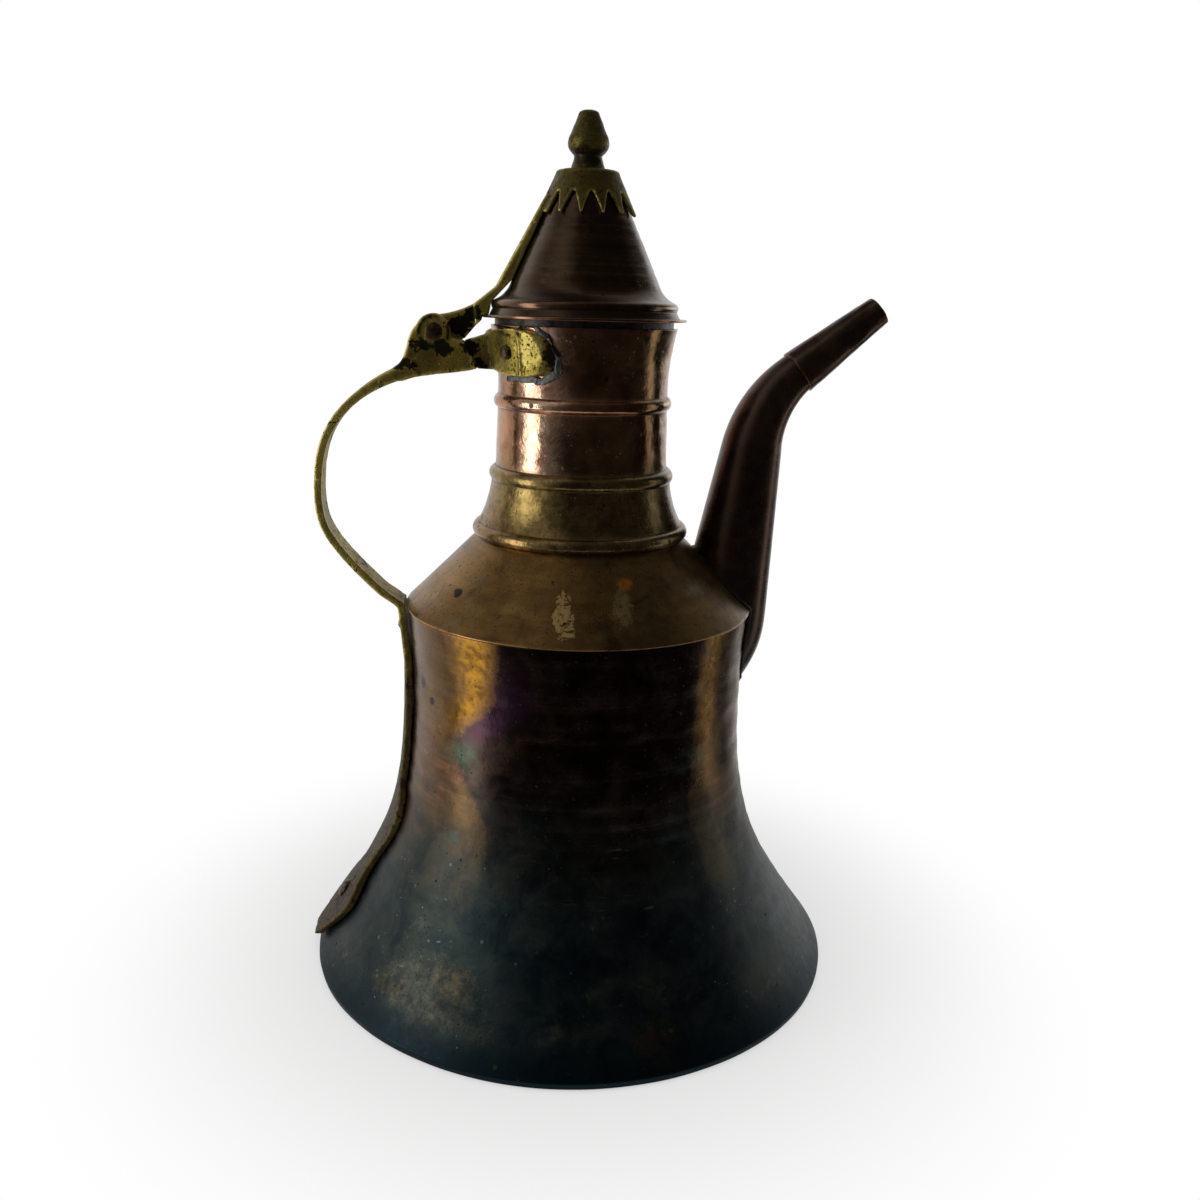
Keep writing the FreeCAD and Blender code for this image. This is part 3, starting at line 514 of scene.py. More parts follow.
def saddle_leaf_light_and_shade(metal, pitted, bright):
    """Painted light on each leaf of the saddle: a painted highlight in the middle, painted shade at its
    root and a black painted shadow at its tip.
    """
    for side in (-1, 1):
        # Painted highlight in the middle of the leaf.
        leaf_highlight = metal.patch((-20.5, 27.0 * side, 225.0), (6.5, 7.0, 7.0), 0.7, 0.4)
        metal.lay(leaf_highlight * (1 - pitted) * 0.55, bright)
        # Painted shade at the leaf's root.
        leaf_root_shade = metal.patch((-30.0, 18.0 * side, 226.0), (5.0, 7.0, 9.0), 1.0, 0.7)
        metal.lay(leaf_root_shade * 0.6, tone(58, 56, 30))
        # Painted shadow: black at the leaf's tip.
        leaf_tip_shadow = metal.patch((-11.0, 29.5 * side, 225.0), (6.0, 6.0, 11.0), 0.5, 0.25)
        metal.lay(leaf_tip_shadow * 0.95, tone(15, 14, 10))


def brass_finish(name, dark, light, bright):
    """Cast brass: pits and crust, dirt in corners, soot low down, painted shade on the crown's top and the
    knob, painted light on the saddle's leaves, and rubbed edges.
    """
    metal = Metal(name)
    shade = (metal.cloud * 0.5 + metal.blotch * 0.8 - 0.15).clip()
    metal.colour = metal.between(shade.ramp(0.25, 0.75), dark, light)
    crust = brass_crust(metal)
    pitted = (metal.pores(1100.0, 0.07) + metal.pores(480.0, 0.04)).clip()
    metal.lay(pitted * 0.86, tone(30, 27, 18))
    metal.lay(crust * 0.95, metal.between(metal.ragged, tone(10, 11, 9), tone(40, 42, 30)))
    dirt = (metal.deep * (0.8 + metal.blotch * 0.9)).clip()
    metal.lay(dirt, metal.between(metal.ragged, tone(18, 20, 18), tone(44, 54, 44)))
    soiled = (metal.z + (metal.cloud - 0.5) * 0.04 + (metal.mottle - 0.5) * 0.05).ramp(0.165, 0.105)
    metal.lay(soiled * 0.92, metal.between(metal.blotch, tone(26, 22, 20), tone(70, 54, 36)))
    # Painted shade: darker olive over the top of the crown and the knob.
    top_shade = (metal.z + (metal.blotch - 0.5) * 0.02).ramp(0.262, 0.272)
    metal.lay(top_shade * 0.75, tone(46, 40, 16))
    # Painted shade on the knob's lower half, with some dirt at its foot.
    knob_shade_and_dirt = metal.patch((0.0, 0.0, 287.0), (9.0, 9.0, 5.5), 0.4, 0.3)
    metal.lay(knob_shade_and_dirt * 0.75, tone(26, 20, 12))
    rub = (metal.rubbed * (0.4 + metal.blotch * 1.2)).clip() * (1 - pitted * 0.7) * (1 - soiled * 0.8)
    metal.lay(rub * (1 - crust * 0.95) * (1 - top_shade * 0.6) * 0.85, bright)
    saddle_leaf_light_and_shade(metal, pitted, bright)
    across = metal.net.vector(metal.x * 60.0, metal.y * 60.0, metal.z * 1400.0 + metal.x * 500.0)
    filed = metal.net.noise(across, 1.0, 3.0, 0.6)
    rough = 0.45 + (metal.blotch - 0.5) * 0.25 + pitted * 0.25 + crust * 0.15 + soiled * 0.1
    metal.rough = rough - rub * 0.1 - knob_shade_and_dirt * 0.15 + (filed - 0.5) * 0.12
    height = metal.grain * 0.3 + filed * 0.3 + metal.blotch * 0.5 + metal.ragged * 0.3
    height = height - pitted * 1.3 + crust * metal.ragged * 1.2
    return metal.close(0.88 + crust * 0.1 - dirt * 0.2, height, cast_relief)


brass = brass_finish("brass", tone(98, 86, 36), tone(166, 146, 62), tone(226, 204, 114))
print(brass.name, "has", len(brass.node_tree.nodes), "nodes, with crust in", len(crust_places), "places")


# %% Rivets and solder
def dull_metal(name, dark, light, rough, lumps, shade_places=()):
    """Lumpy grey or brown metal under grime; the last argument lists places and sizes of extra painted
    shade in millimetres.
    """
    metal = Metal(name)
    lumpy = metal.noise(lumps, 5.0, 0.65, 0.5)
    metal.colour = metal.between((lumpy * 0.7 + metal.blotch * 0.5 - 0.1).ramp(0.25, 0.75), dark, light)
    pitted = metal.specks(520.0, 0.42, 0.2)
    grime_and_shade = metal.noise(210.0, 5.0, 0.7, 0.6).ramp(0.5, 0.62) * 0.75 + metal.deep * 0.7 + pitted * 0.5
    # Painted shade where places are given.
    for middle, size in shade_places:
        grime_and_shade = grime_and_shade + metal.patch(middle, size, 0.9, 0.5)
    metal.lay(grime_and_shade.clip() * 0.9, pit_black)
    metal.rough = rough + (lumpy - 0.5) * 0.3 - metal.rubbed * 0.12
    height = lumpy + metal.grain * 0.3 - pitted * 0.6
    return metal.close(0.9 - pitted * 0.4, height, cast_relief)


rivet_metal = dull_metal("rivet", tone(58, 44, 30), tone(104, 82, 54), rough=0.40, lumps=420.0)
# Painted shade on the saddle's solder: black at the tips of the leaves and a dark band along its top.
solder_shade_places = [((-13, 31 * side, 227), (5, 7, 6)) for side in (-1, 1)] + [((-24, 0, 233), (30, 40, 4))]
solder_tones = (tone(66, 68, 68), tone(124, 124, 120))
solder_metal = dull_metal("solder", *solder_tones, rough=0.5, lumps=520.0, shade_places=solder_shade_places)
smoked_solder = dull_metal("smoked_solder", tone(34, 29, 26), tone(66, 54, 44), rough=0.5, lumps=520.0)
# Painted shade: the tin on the lid's plug and washer is made dark for the shade under the lid's flange,
# over some grime.
tinned = dull_metal("tinned", tone(38, 36, 33), tone(78, 76, 70), rough=0.42, lumps=120.0)
print("other finishes", [made.name for made in (rivet_metal, solder_metal, smoked_solder, tinned)])

# %% [markdown]
# ## Outlines in millimetres
#
# Sheet copper is raised and then trued on a lathe, so each copper piece is an outline turned round the
# pot's axis. An outline here is a list of points, radius and height. Corners are rounded a little,
# because hammered sheet has no sharp corner, and long runs are divided so that dents have points to
# move.

# %% Helpers for outlines
flat_turn = -0.94
corner_share = 0.45


def straight(start, end, count=2):
    share = np.linspace(0.0, 1.0, count)[:, None]
    return np.array(start) * (1 - share) + np.array(end) * share


def bezier(first, second, third, fourth, count):
    t = np.linspace(0.0, 1.0, count)[:, None]
    points = (1 - t) ** 3 * np.array(first) + 3 * (1 - t) ** 2 * t * np.array(second)
    return points + 3 * (1 - t) * t ** 2 * np.array(third) + t ** 3 * np.array(fourth)


def arc_through(start, middle, end, count=9):
    """Points on the circle through three places, from the first to the last."""
    start, middle, end = (np.array(point, float) for point in (start, middle, end))
    sides = np.array([middle - start, end - start]) * 2
    squares = [middle @ middle - start @ start, end @ end - start @ start]
    centre = np.linalg.solve(sides, squares)
    first, half, last = [math.atan2(*(point - centre)[::-1]) for point in (start, middle, end)]
    half += 2 * math.pi * round((first - half) / (2 * math.pi))
    last += 2 * math.pi * round((half - last) / (2 * math.pi))
    turn = np.linspace(first, last, count)
    reach = np.linalg.norm(start - centre)
    return centre + reach * np.stack([np.cos(turn), np.sin(turn)], 1)


def round_turns(count):
    return np.linspace(0.0, 2 * math.pi, count, endpoint=False)


def unit_rows(rows):
    return rows / np.linalg.norm(rows, axis=1)[:, None]


def offset(points, lift):
    """The outline moved square to itself; a positive lift goes to the right of its direction."""
    run = unit_rows(np.gradient(points, axis=0))
    return points + lift * np.stack([run[:, 1], -run[:, 0]], 1)


def joined(*runs):
    """One list of points without doubles."""
    points = np.concatenate([np.atleast_2d(run) for run in runs])
    keep = np.r_[True, np.linalg.norm(np.diff(points, axis=0), axis=1) > 1e-6]
    return points[keep]


def softened(points, radius, closed):
    """Round each corner with a short curve; nearly straight places stay as they are."""
    count = len(points)
    result = []
    for index in range(count):
        here = points[index]
        if not closed and index in (0, count - 1):
            result.append(here)
            continue
        back = points[index - 1] - here
        ahead = points[(index + 1) % count] - here
        back_length = np.linalg.norm(back)
        ahead_length = np.linalg.norm(ahead)
        if back @ ahead / (back_length * ahead_length) < flat_turn:
            result.append(here)
            continue
        reach = min(radius, corner_share * back_length, corner_share * ahead_length)
        start = here + back / back_length * reach
        end = here + ahead / ahead_length * reach
        for t in (0.0, 0.25, 0.5, 0.75, 1.0):
            result.append((1 - t) ** 2 * start + 2 * (1 - t) * t * here + t ** 2 * end)
    return np.array(result)


def divided(points, step, closed):
    """Points no further apart than the step."""
    result = []
    count = len(points)
    for index in range(count if closed else count - 1):
        start = points[index]
        end = points[(index + 1) % count]
        pieces = max(1, math.ceil(np.linalg.norm(end - start) / step))
        result.append(straight(start, end, pieces + 1)[:-1])
    if not closed:
        result.append(points[-1:])
    return np.concatenate(result)


print("a quarter arc", np.round(arc_through((1, 0), (0.7071, 0.7071), (0, 1), 3), 2).tolist())

# %% [markdown]
# ## A tree that turns an outline
#
# The turning is a rule, so it is one Geometry Nodes tree for every copper shell: a grid with one column
# for each step round the axis takes its points from the outline. Dents then push the sheet inwards only,
# the same on both of its sides, so that the sheet keeps its thickness and never grows past the
# measured solid. Spin rings do the same in narrow bands. The Screw modifier could turn the outline
# too, but it could not carry the stored values and the dents in one go.

# %% Rules that the trees share
weld_reach = 2e-6


def new_tree(name, inputs):
    tree = bpy.data.node_groups.new(name, "GeometryNodeTree")
    tree.is_modifier = True
    tree.interface.new_socket(name="Geometry", in_out="INPUT", socket_type="NodeSocketGeometry")
    for label, kind in inputs:
        tree.interface.new_socket(name=label, in_out="INPUT", socket_type=kind)
    tree.interface.new_socket(name="Geometry", in_out="OUTPUT", socket_type="NodeSocketGeometry")
    net = Net(tree)
    source = tree.nodes.new("NodeGroupInput")
    return net, {socket.name: Field(net, socket) for socket in source.outputs if socket.name}


def numbered_grid(net, columns, rows):
    """A grid with a spare last column, and the column and row of each of its points."""
    grid = net.node("GeometryNodeMeshGrid", {}, {"Vertices X": columns + 1, "Vertices Y": rows}, "Mesh")
    index = net.node("GeometryNodeInputIndex", out="Index")
    column = ((index + 0.5) / rows).call("FLOOR")
    return grid, column, index - column * rows


def named(net, name, kind="FLOAT"):
    return net.node("GeometryNodeInputNamedAttribute", {"data_type": kind}, {"Name": name})


def keep_value(net, shape, name, value):
    settings = {"data_type": "FLOAT", "domain": "POINT"}
    sockets = {"Geometry": shape, "Name": name, "Value": value}
    return net.node("GeometryNodeStoreNamedAttribute", settings, sockets, "Geometry")


def seeded_noise(net, vector, seed, scale, detail):
    sockets = {"Vector": vector, "W": seed, "Scale": scale, "Detail": detail}
    return net.node("ShaderNodeTexNoise", {"noise_dimensions": "4D"}, sockets, 0)


def set_round(net, shape, reach, turn, height):
    """Move each point to a reach from the axis, a turn round it and a height."""
    placed = net.vector(reach * turn.call("COSINE"), reach * turn.call("SINE"), height)
    return net.node("GeometryNodeSetPosition", {}, {"Geometry": shape, "Position": placed}, "Geometry")


def welded(net, shape):
    sockets = {"Geometry": shape, "Distance": weld_reach}
    return net.node("GeometryNodeMergeByDistance", {}, sockets, "Geometry")


def close_tree(net, shape, material):
    shape = net.node("GeometryNodeSetShadeSmooth", {}, {"Geometry": shape}, "Geometry")
    shape = net.node("GeometryNodeRealizeInstances", {}, {"Geometry": shape}, "Geometry")
    shape = net.node("GeometryNodeSetMaterial", {}, {"Geometry": shape, "Material": material}, "Geometry")
    net.node("NodeGroupOutput", {}, {"Geometry": shape})
    return net.tree


print("points closer than", weld_reach, "metres are welded")

# %% Build the turning tree
turning_inputs = [("Steps", "NodeSocketInt"), ("Closed", "NodeSocketInt")]
turning_sizes = ("Dent depth", "Dent size", "Ring depth", "Ring size", "Seed")
turning_inputs += [(label, "NodeSocketFloat") for label in turning_sizes]
turning_inputs += [("Material", "NodeSocketMaterial")]


def turning_tree():
    net, given = new_tree("turned_sheet", turning_inputs)
    outline = given["Geometry"]
    sockets = {"Geometry": outline}
    count = net.node("GeometryNodeAttributeDomainSize", {"component": "MESH"}, sockets, "Point Count")
    grid, column, row = numbered_grid(net, given["Steps"], count + given["Closed"])
    row = row.call("MODULO", count)
    position = net.node("GeometryNodeInputPosition", out="Position")

    def taken(value, kind="FLOAT"):
        sockets = {"Geometry": outline, "Value": value, "Index": row}
        return net.node("GeometryNodeSampleIndex", {"data_type": kind, "domain": "POINT"}, sockets, "Value")

    reach, height = net.parts(taken(position, "FLOAT_VECTOR"))[::2]
    turn = column * (2 * math.pi) / given["Steps"]
    wave = net.vector(turn.call("COSINE"), turn.call("SINE"), height / given["Dent size"])
    dents = seeded_noise(net, wave, given["Seed"], scale=1.6, detail=2.0)
    dents = dents.ramp(0.35, 0.75) * given["Dent depth"]
    band = net.vector(turn.call("COSINE") * 0.25, turn.call("SINE") * 0.25, height / given["Ring size"])
    spin = seeded_noise(net, band, given["Seed"] + 7.0, scale=1.0, detail=1.0)
    spin = spin.ramp(0.3, 0.7) * given["Ring depth"]
    pushed = (reach - (dents + spin) * (1 - taken(named(net, "still")))).call("MAXIMUM", 0.0)
    shape = set_round(net, grid, pushed, turn, height)
    for name in ("inside", "rubbed", "deep"):
        shape = keep_value(net, shape, name, taken(named(net, name)))
    return close_tree(net, welded(net, shape), given["Material"])


turned_sheet = turning_tree()
print("turning tree has", len(turned_sheet.nodes), "nodes")

# %% [markdown]
# ## From outline to finished piece
#
# A helper hangs the outline on a hidden line mesh with its stored values, runs the tree, and turns the
# result into a plain mesh. How sharply the outline bends tells which points are rubbed edges and which
# are deep corners. A last test on the volume makes sure that the faces point outwards.

# %% Helpers that finish a mesh
bend_blur = 0.15
clearly_nearer = 0.5


def linked(name, data):
    piece = bpy.data.objects.new(name, data)
    scene.collection.objects.link(piece)
    return piece


def evaluated(piece):
    """The mesh that an object's modifiers make; the modifiers are then taken off."""
    graph = bpy.context.evaluated_depsgraph_get()
    made = bpy.data.meshes.new_from_object(piece.evaluated_get(graph))
    piece.modifiers.clear()
    spare = piece.data
    piece.data = made
    bpy.data.meshes.remove(spare)
    made.name = piece.name
    return made


def run_tree(piece, tree, values):
    """Run a tree on an object and keep the result as a plain mesh."""
    modifier = piece.modifiers.new("tree", "NODES")
    modifier.node_group = tree
    names = {item.name: item.identifier for item in tree.interface.items_tree if item.in_out == "INPUT"}
    for label, value in values.items():
        modifier[names[label]] = value
    face_outwards(evaluated(piece))
    return piece


def face_outwards(mesh):
    """Turn the faces round if the closed shape counts as a hollow."""
    tidy = bmesh.new()
    tidy.from_mesh(mesh)
    if tidy.calc_volume(signed=True) < 0:
        bmesh.ops.reverse_faces(tidy, faces=tidy.faces)
    tidy.to_mesh(mesh)
    tidy.free()


def store(mesh, name, values):
    if name in mesh.attributes:
        mesh.attributes.remove(mesh.attributes[name])
    mesh.attributes.new(name, "FLOAT", "POINT").data.foreach_set("value", np.asarray(values, np.float32))


def store_bends(mesh, bend, gain, least):
    """What stands out is rubbed, and what lies deep keeps dirt."""
    store(mesh, "rubbed", np.clip(bend * gain - least, 0, 1))
    store(mesh, "deep", np.clip(-bend * gain - least, 0, 1))


def bends(points, closed):
    """How sharply an outline turns at each point, in turns per millimetre: plus on an outer edge."""
    back = points - np.roll(points, 1, axis=0)
    ahead = np.roll(points, -1, axis=0) - points
    turn = np.arctan2(back[:, 0] * ahead[:, 1] - back[:, 1] * ahead[:, 0], (back * ahead).sum(1))
    run = 0.5 * (np.linalg.norm(back, axis=1) + np.linalg.norm(ahead, axis=1))
    spread = turn / (run + bend_blur)
    if not closed:
        spread[[0, -1]] = 0.0
    return (np.roll(spread, 1) + 2 * spread + np.roll(spread, -1)) / 4


def turned(
    name, points, closed, material, steps, seed,
    dents=(0.0, 0.03), spin=(0.0, 0.004), inside=None, still=None,
):
    """A shell from an anticlockwise outline; dents and spin rings are a depth and a size in metres."""
    mesh = bpy.data.meshes.new(name)
    mesh.from_pydata([(reach * mm, 0.0, height * mm) for reach, height in points], [], [])
    store_bends(mesh, bends(points, closed), gain=0.9, least=0.1)
    for label, values in (("inside", inside), ("still", still)):
        store(mesh, label, np.zeros(len(points)) if values is None else values)
    values = {"Steps": steps, "Closed": int(closed), "Material": material}
    values.update(zip(turning_sizes, (*dents, *spin, seed)))
    return run_tree(linked(name, mesh), turned_sheet, values)


def nearer(points, line, other):
    """1 for each point that lies clearly nearer to the first run of points than to the other."""
    away = [np.linalg.norm(points[:, None, :] - run[None, :, :], axis=2).min(1) for run in (line, other)]
    return (away[0] < clearly_nearer * away[1]).astype(float)


def walled(outer, inner, lining, corner, step, fine=0.4):
    """Points round a sheet with rounded corners, and which of them belong to its lining."""
    points = divided(softened(joined(outer, inner), corner, True), step, True)
    return points, nearer(points, divided(lining, fine, False), divided(outer, fine, False))


def report(piece):
    box = np.round(np.array(piece.bound_box) / mm, 1)
    count = sum(len(face.vertices) - 2 for face in piece.data.polygons)
    print(piece.name, "triangles", count, "low", box.min(0).tolist(), "high", box.max(0).tolist())


def settle(piece, body, slot, *nodes):
    """Let a finished piece ride on its body in place of the solids it stands for."""
    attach(piece, body)
    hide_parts(*nodes)
    report(piece)


print("helpers for meshes are ready")

# %% [markdown]
# ## The bell
#
# The lower body is one sheet: a foot, a long flare, an upright wall and a lap turned in under the
# shoulder. The flare is a curve of four poles, the same as in the solid. Faint dents and spin rings make
# the light wander over it. It could be sculpted too, but an outline keeps it true to the solid.

# %% Sizes of the bell and shoulder
sheet = 1.0
base_radius = 97.3
foot_height = 2.0
foot_inset = 0.3
plate_thickness = 1.2
waist = (60.5, 113.0)
crease = (62.7, 134.0)
collar = (36.2, 160.0)
collar_length = 4.0
lap_length = 6.0
seat_gap = 0.1
flare_lean = math.radians(37.0)
flare_foot_pull = 48.0
flare_waist_pull = 60.0
slope = math.atan2(collar[1] - crease[1], crease[0] - collar[0])
shoulder_normal = np.array((math.sin(slope), math.cos(slope)))
shoulder_inward = np.array((-math.cos(slope), math.sin(slope)))


def flare(count):
    foot = np.array((base_radius, foot_height))
    pull = foot + flare_foot_pull * np.array((-math.sin(flare_lean), math.cos(flare_lean)))
    return bezier(foot, pull, (waist[0], waist[1] - flare_waist_pull), waist, count)


print("foot", base_radius * 2, "mm across, shoulder at", round(math.degrees(slope), 1), "degrees")

# %% Turn the bell
def bell():
    skin = flare(100)
    top = np.array(crease) - shoulder_normal * (sheet + seat_gap)
    lap = top + shoulder_inward * lap_length
    floor = (base_radius - foot_inset, 0.0)
    outer = joined([floor], skin, [top, lap])
    inner_skin = offset(skin, -sheet)
    corner = top + np.array((-sheet, -sheet * 0.75))
    inner = joined([lap - shoulder_normal * sheet, corner], inner_skin[::-4], [(floor[0] - sheet, 0.0)])
    points, inside = walled(outer, inner, inner[1:-1], corner=0.45, step=1.6, fine=0.5)
    return turned(
        "bell", points, True, lower_copper, steps=288, seed=3.0,
        dents=(0.0006, 0.04), spin=(0.00028, 0.006), inside=inside,
    )


settle(bell(), "pot", "lower_copper", "lower_body")

# %% [markdown]
# ## Bottom and shoulder
#
# The bottom is a flat disc set into the foot. The shoulder is a shallow cone whose lower edge lies on the
# lap of the bell, which leaves the fine crease round the pot, and whose upper edge is turned up inside
# the neck. Copies of the solids would do, but turned outlines give even faces for the dents.

# %% Turn the bottom and the shoulder
plate_lining = 0.9
inner_bend_drop = 0.55


def bottom():
    rim = base_radius - foot_inset - sheet - seat_gap
    outline = np.array([(0.0, 0.0), (rim, 0.0), (rim, plate_thickness), (0.0, plate_thickness)])
    points = divided(softened(outline, 0.3, False), 3.0, False)
    inside = (points[:, 1] > plate_lining).astype(float)
    return turned("bottom", points, False, base_copper, steps=128, seed=5.0, inside=inside)


def shoulder_cone():
    edge = np.array(crease)
    top = collar[1] + collar_length
    low = edge - shoulder_normal * sheet
    inner_bend = np.array((collar[0] - sheet, collar[1] - inner_bend_drop))
    outer = joined(straight(edge, collar, 30), [(collar[0], top)])
    inner = joined([(collar[0] - sheet, top)], [inner_bend], straight(inner_bend, low, 8))
    points, inside = walled(outer, inner, inner[:-1], corner=0.35, step=1.5)
    return turned(
        "shoulder_cone", points, True, shoulder_copper, steps=256, seed=11.0,
        dents=(0.0003, 0.03), spin=(0.00012, 0.004), inside=inside,
    )


settle(bottom(), "pot", "base_copper", "bottom_plate")
settle(shoulder_cone(), "pot", "shoulder_copper", "shoulder")

# %% [markdown]
# ## The neck
#
# Three rings are raised on the neck, and the mouth flares a little. Each ring is an arc through its tip.
# The inner line follows with shallower rings, as sheet does when it is pressed out. Separate hoops could
# make the rings, but then the neck would not be one sheet.

# %% Turn the neck
rings = [(161.6, 38.7), (181.5, 32.8), (206.5, 31.3)]
ring_half = 2.4
lining_ring = 0.7
skirt_foot = 36.6
skirt_top = 31.9
skirt_dip = 0.9
neck_bottom = 30.5
neck_radius = 29.8
neck_foot_gap = 0.28
mouth = (32.5, 232.0)
mouth_start = 214.0
mouth_dip = 0.54


def neck_line(lift, half):
    """The neck's wall from above the lowest ring to the mouth."""
    low_top = rings[0][0] + ring_half
    (middle, middle_tip), (upper, upper_tip) = rings[1:]
    sweep = ((skirt_foot + skirt_top) / 2 - skirt_dip + lift, (low_top + middle - half) / 2)
    middle_start = (skirt_top + lift, middle - half)
    middle_end = (neck_bottom + lift, middle + half)
    upper_start = (neck_radius + lift, upper - half)
    upper_end = (neck_radius + lift, upper + half)
    flare_start = (neck_radius + lift, mouth_start)
    flare_half = ((neck_radius + mouth[0]) / 2 - mouth_dip + lift, (mouth_start + mouth[1]) / 2)
    return joined(
        arc_through((skirt_foot + lift, low_top), sweep, middle_start, 18),
        arc_through(middle_start, (middle_tip + lift, middle), middle_end, 11),
        straight(middle_end, upper_start, 16),
        arc_through(upper_start, (upper_tip + lift, upper), upper_end, 11),
        [flare_start],
        arc_through(flare_start, flare_half, (mouth[0] + lift, mouth[1]), 14),
    )


def ringed_neck():
    bore = collar[0] + seat_gap
    foot = bore + sheet
    levels = [crease[1] + (crease[0] - reach) * math.tan(slope) + neck_foot_gap for reach in (bore, foot)]
    low_ring = arc_through((foot, levels[1]), rings[0][::-1], (skirt_foot, rings[0][0] + ring_half), 13)
    outer = joined(low_ring, neck_line(0.0, ring_half))
    lining = neck_line(-sheet, ring_half - lining_ring)[::-1]
    inner = joined(lining, [(bore, collar[1] + collar_length + seat_gap), (bore, levels[0])])
    points, inside = walled(outer, inner, inner, corner=0.35, step=1.2)
    return turned(
        "ringed_neck", points, True, neck_copper, steps=224, seed=17.0,
        dents=(0.00025, 0.02), spin=(0.00008, 0.003), inside=inside,
    )


settle(ringed_neck(), "pot", "neck_copper", "neck")

# %% [markdown]
# ## The lid
#
# The lid is a spun cone over a short upright riser and a flat flange. A plug below it sits in the mouth
# of the neck. The crown and its strap are brass and come later, from the solids. The knob is turned, and
# its tail is riveted over a washer under the lid's top. All four are round, so outlines make them too.

# %% Turn the lid
flange_level = 234.2
flange_radius = 35.4
lid_top = 281.2
lid_sheet = 0.9
plug_radius = 30.9
riser_height = 3.2
riser_flare = 1.2
bead_height = 3.0
bead_lift = 0.4
bead_inset = 0.9
cone_foot_radius = 25.2
cone_foot_height = 12.8
cone_top_radius = 9.5
bow_in, bow_down = 0.8, 0.6
knob_hole = 2.45
still_reach = 4.0


def lid_line(lift):
    riser = plug_radius + seat_gap + lid_sheet + lift
    foot = flange_level + riser_height
    bead_top = (riser - bead_inset, foot + bead_height)
    cone_foot = (cone_foot_radius + lift, flange_level + cone_foot_height)
    bow = ((bead_top[0] + cone_foot[0]) / 2 - bow_in, (bead_top[1] + cone_foot[1]) / 2 - bow_down)
    bead = arc_through((riser, foot), (riser + bead_lift, foot + bead_height / 2), bead_top, 9)
    cone = straight(cone_foot, (cone_top_radius + lift, lid_top), 40)
    return joined(bead, arc_through(bead_top, bow, cone_foot, 12), cone)


def spun_lid():
    bore = plug_radius + seat_gap
    under_top = lid_top - lid_sheet
    flange_top = flange_level + lid_sheet
    flange = [(bore, flange_level), (flange_radius, flange_level), (flange_radius, flange_top)]
    riser_foot = (bore + lid_sheet + riser_flare, flange_top)
    outer = joined(flange, [riser_foot], lid_line(0.0), [(knob_hole, lid_top), (knob_hole, under_top)])
    inner = lid_line(-lid_sheet)[::-1]
    inner = inner[inner[:, 1] < under_top]
    points, inside = walled(outer, inner, inner, corner=0.28, step=0.9)
    still = (points[:, 0] < still_reach).astype(float)
    return turned(
        "spun_lid", points, True, lid_copper, steps=224, seed=23.0,
        dents=(0.0002, 0.02), spin=(0.00012, 0.0016), inside=inside, still=still,
    )


settle(spun_lid(), "lid", "lid_copper", "lid_cone")

# %% Turn the plug, the knob and the washer
plug_low = 222.0
plug_bend = 231.4
plug_rise = 2.8
plug_taper = 2.1
knob_seat = 1.3
knob_height = 19.0
knob_radius = 7.0
knob_foot = 6.4
knob_stem = 5.3
knob_waist = 4.9
knob_rim = 3.4
knob_crest = 2.72
knob_top = 1.7
tenon_radius = 2.4
tail_depth = 2.1
tail_points = [(0.0, 1.44), (2.0, 1.1), (3.84, 0.0)]
washer_hole, washer_radius = 2.43, 5.0
washer_depth, washer_thickness = 2.0, 1.0


def lid_collar():
    top = flange_level + plug_rise
    foot = plug_radius - plug_taper
    lining = plug_radius - lid_sheet
    outline = [(foot, plug_low), (plug_radius, plug_bend), (plug_radius, top)]
    outline += [(lining, top), (lining, plug_bend), (foot - lid_sheet, plug_low)]
    points = divided(softened(np.array(outline), 0.25, True), 1.5, True)
    return turned("lid_collar", points, True, tinned, steps=160, seed=29.0)


def knob():
    low = lid_top + knob_seat
    head = lid_top - tail_depth

    def at(reach, share):
        return reach, low + knob_height * share

    waist_place, belly, rim = at(knob_waist, 0.26), at(knob_radius * 0.94, 0.56), at(knob_rim, 0.96)
    tail = [(reach, head - drop) for reach, drop in tail_points]
    tail += [(tenon_radius, head), (tenon_radius, low), (knob_foot, low)]
    stem = arc_through((knob_foot, low), at(knob_stem, 0.13), waist_place, 9)
    belly_arc = arc_through(waist_place, at(knob_radius, 0.44), belly, 9)
    crest = arc_through(rim, at(knob_crest, 0.985), (knob_top, low + knob_height), 5)
    outline = joined(tail, stem, belly_arc, straight(belly, rim, 9), crest, [(0.0, low + knob_height)])
    points = divided(softened(outline, 0.35, False), 0.7, False)
    still = (points[:, 1] < low + 0.3).astype(float)
    return turned(
        "knob", points, False, brass, steps=72, seed=31.0,
        dents=(0.00025, 0.006), spin=(0.0001, 0.002), still=still,
    )


def washer():
    low = lid_top - washer_depth
    top = low + washer_thickness
    outline = np.array([(washer_hole, low), (washer_radius, low), (washer_radius, top), (washer_hole, top)])
    points = divided(softened(outline, 0.2, True), 0.8, True)
    return turned("washer", points, True, tinned, steps=64, seed=37.0)


settle(lid_collar(), "lid", "tinned", "lid_plug")
settle(knob(), "lid", "brass", "finial")
settle(washer(), "lid", "tinned", "finial_washer")

# %% [markdown]
# ## The spout
#
# The spout is a tapering tube, wide at its root, straight up the side of the neck and bent outwards to a
# short straight tip. The tube is a row of rings along the middle line. Each line of the tube is followed
# down until it meets the bell or the shoulder, so the root fits the body closely. A curve with a bevel
# could make the tube, but it could not trim its own root.

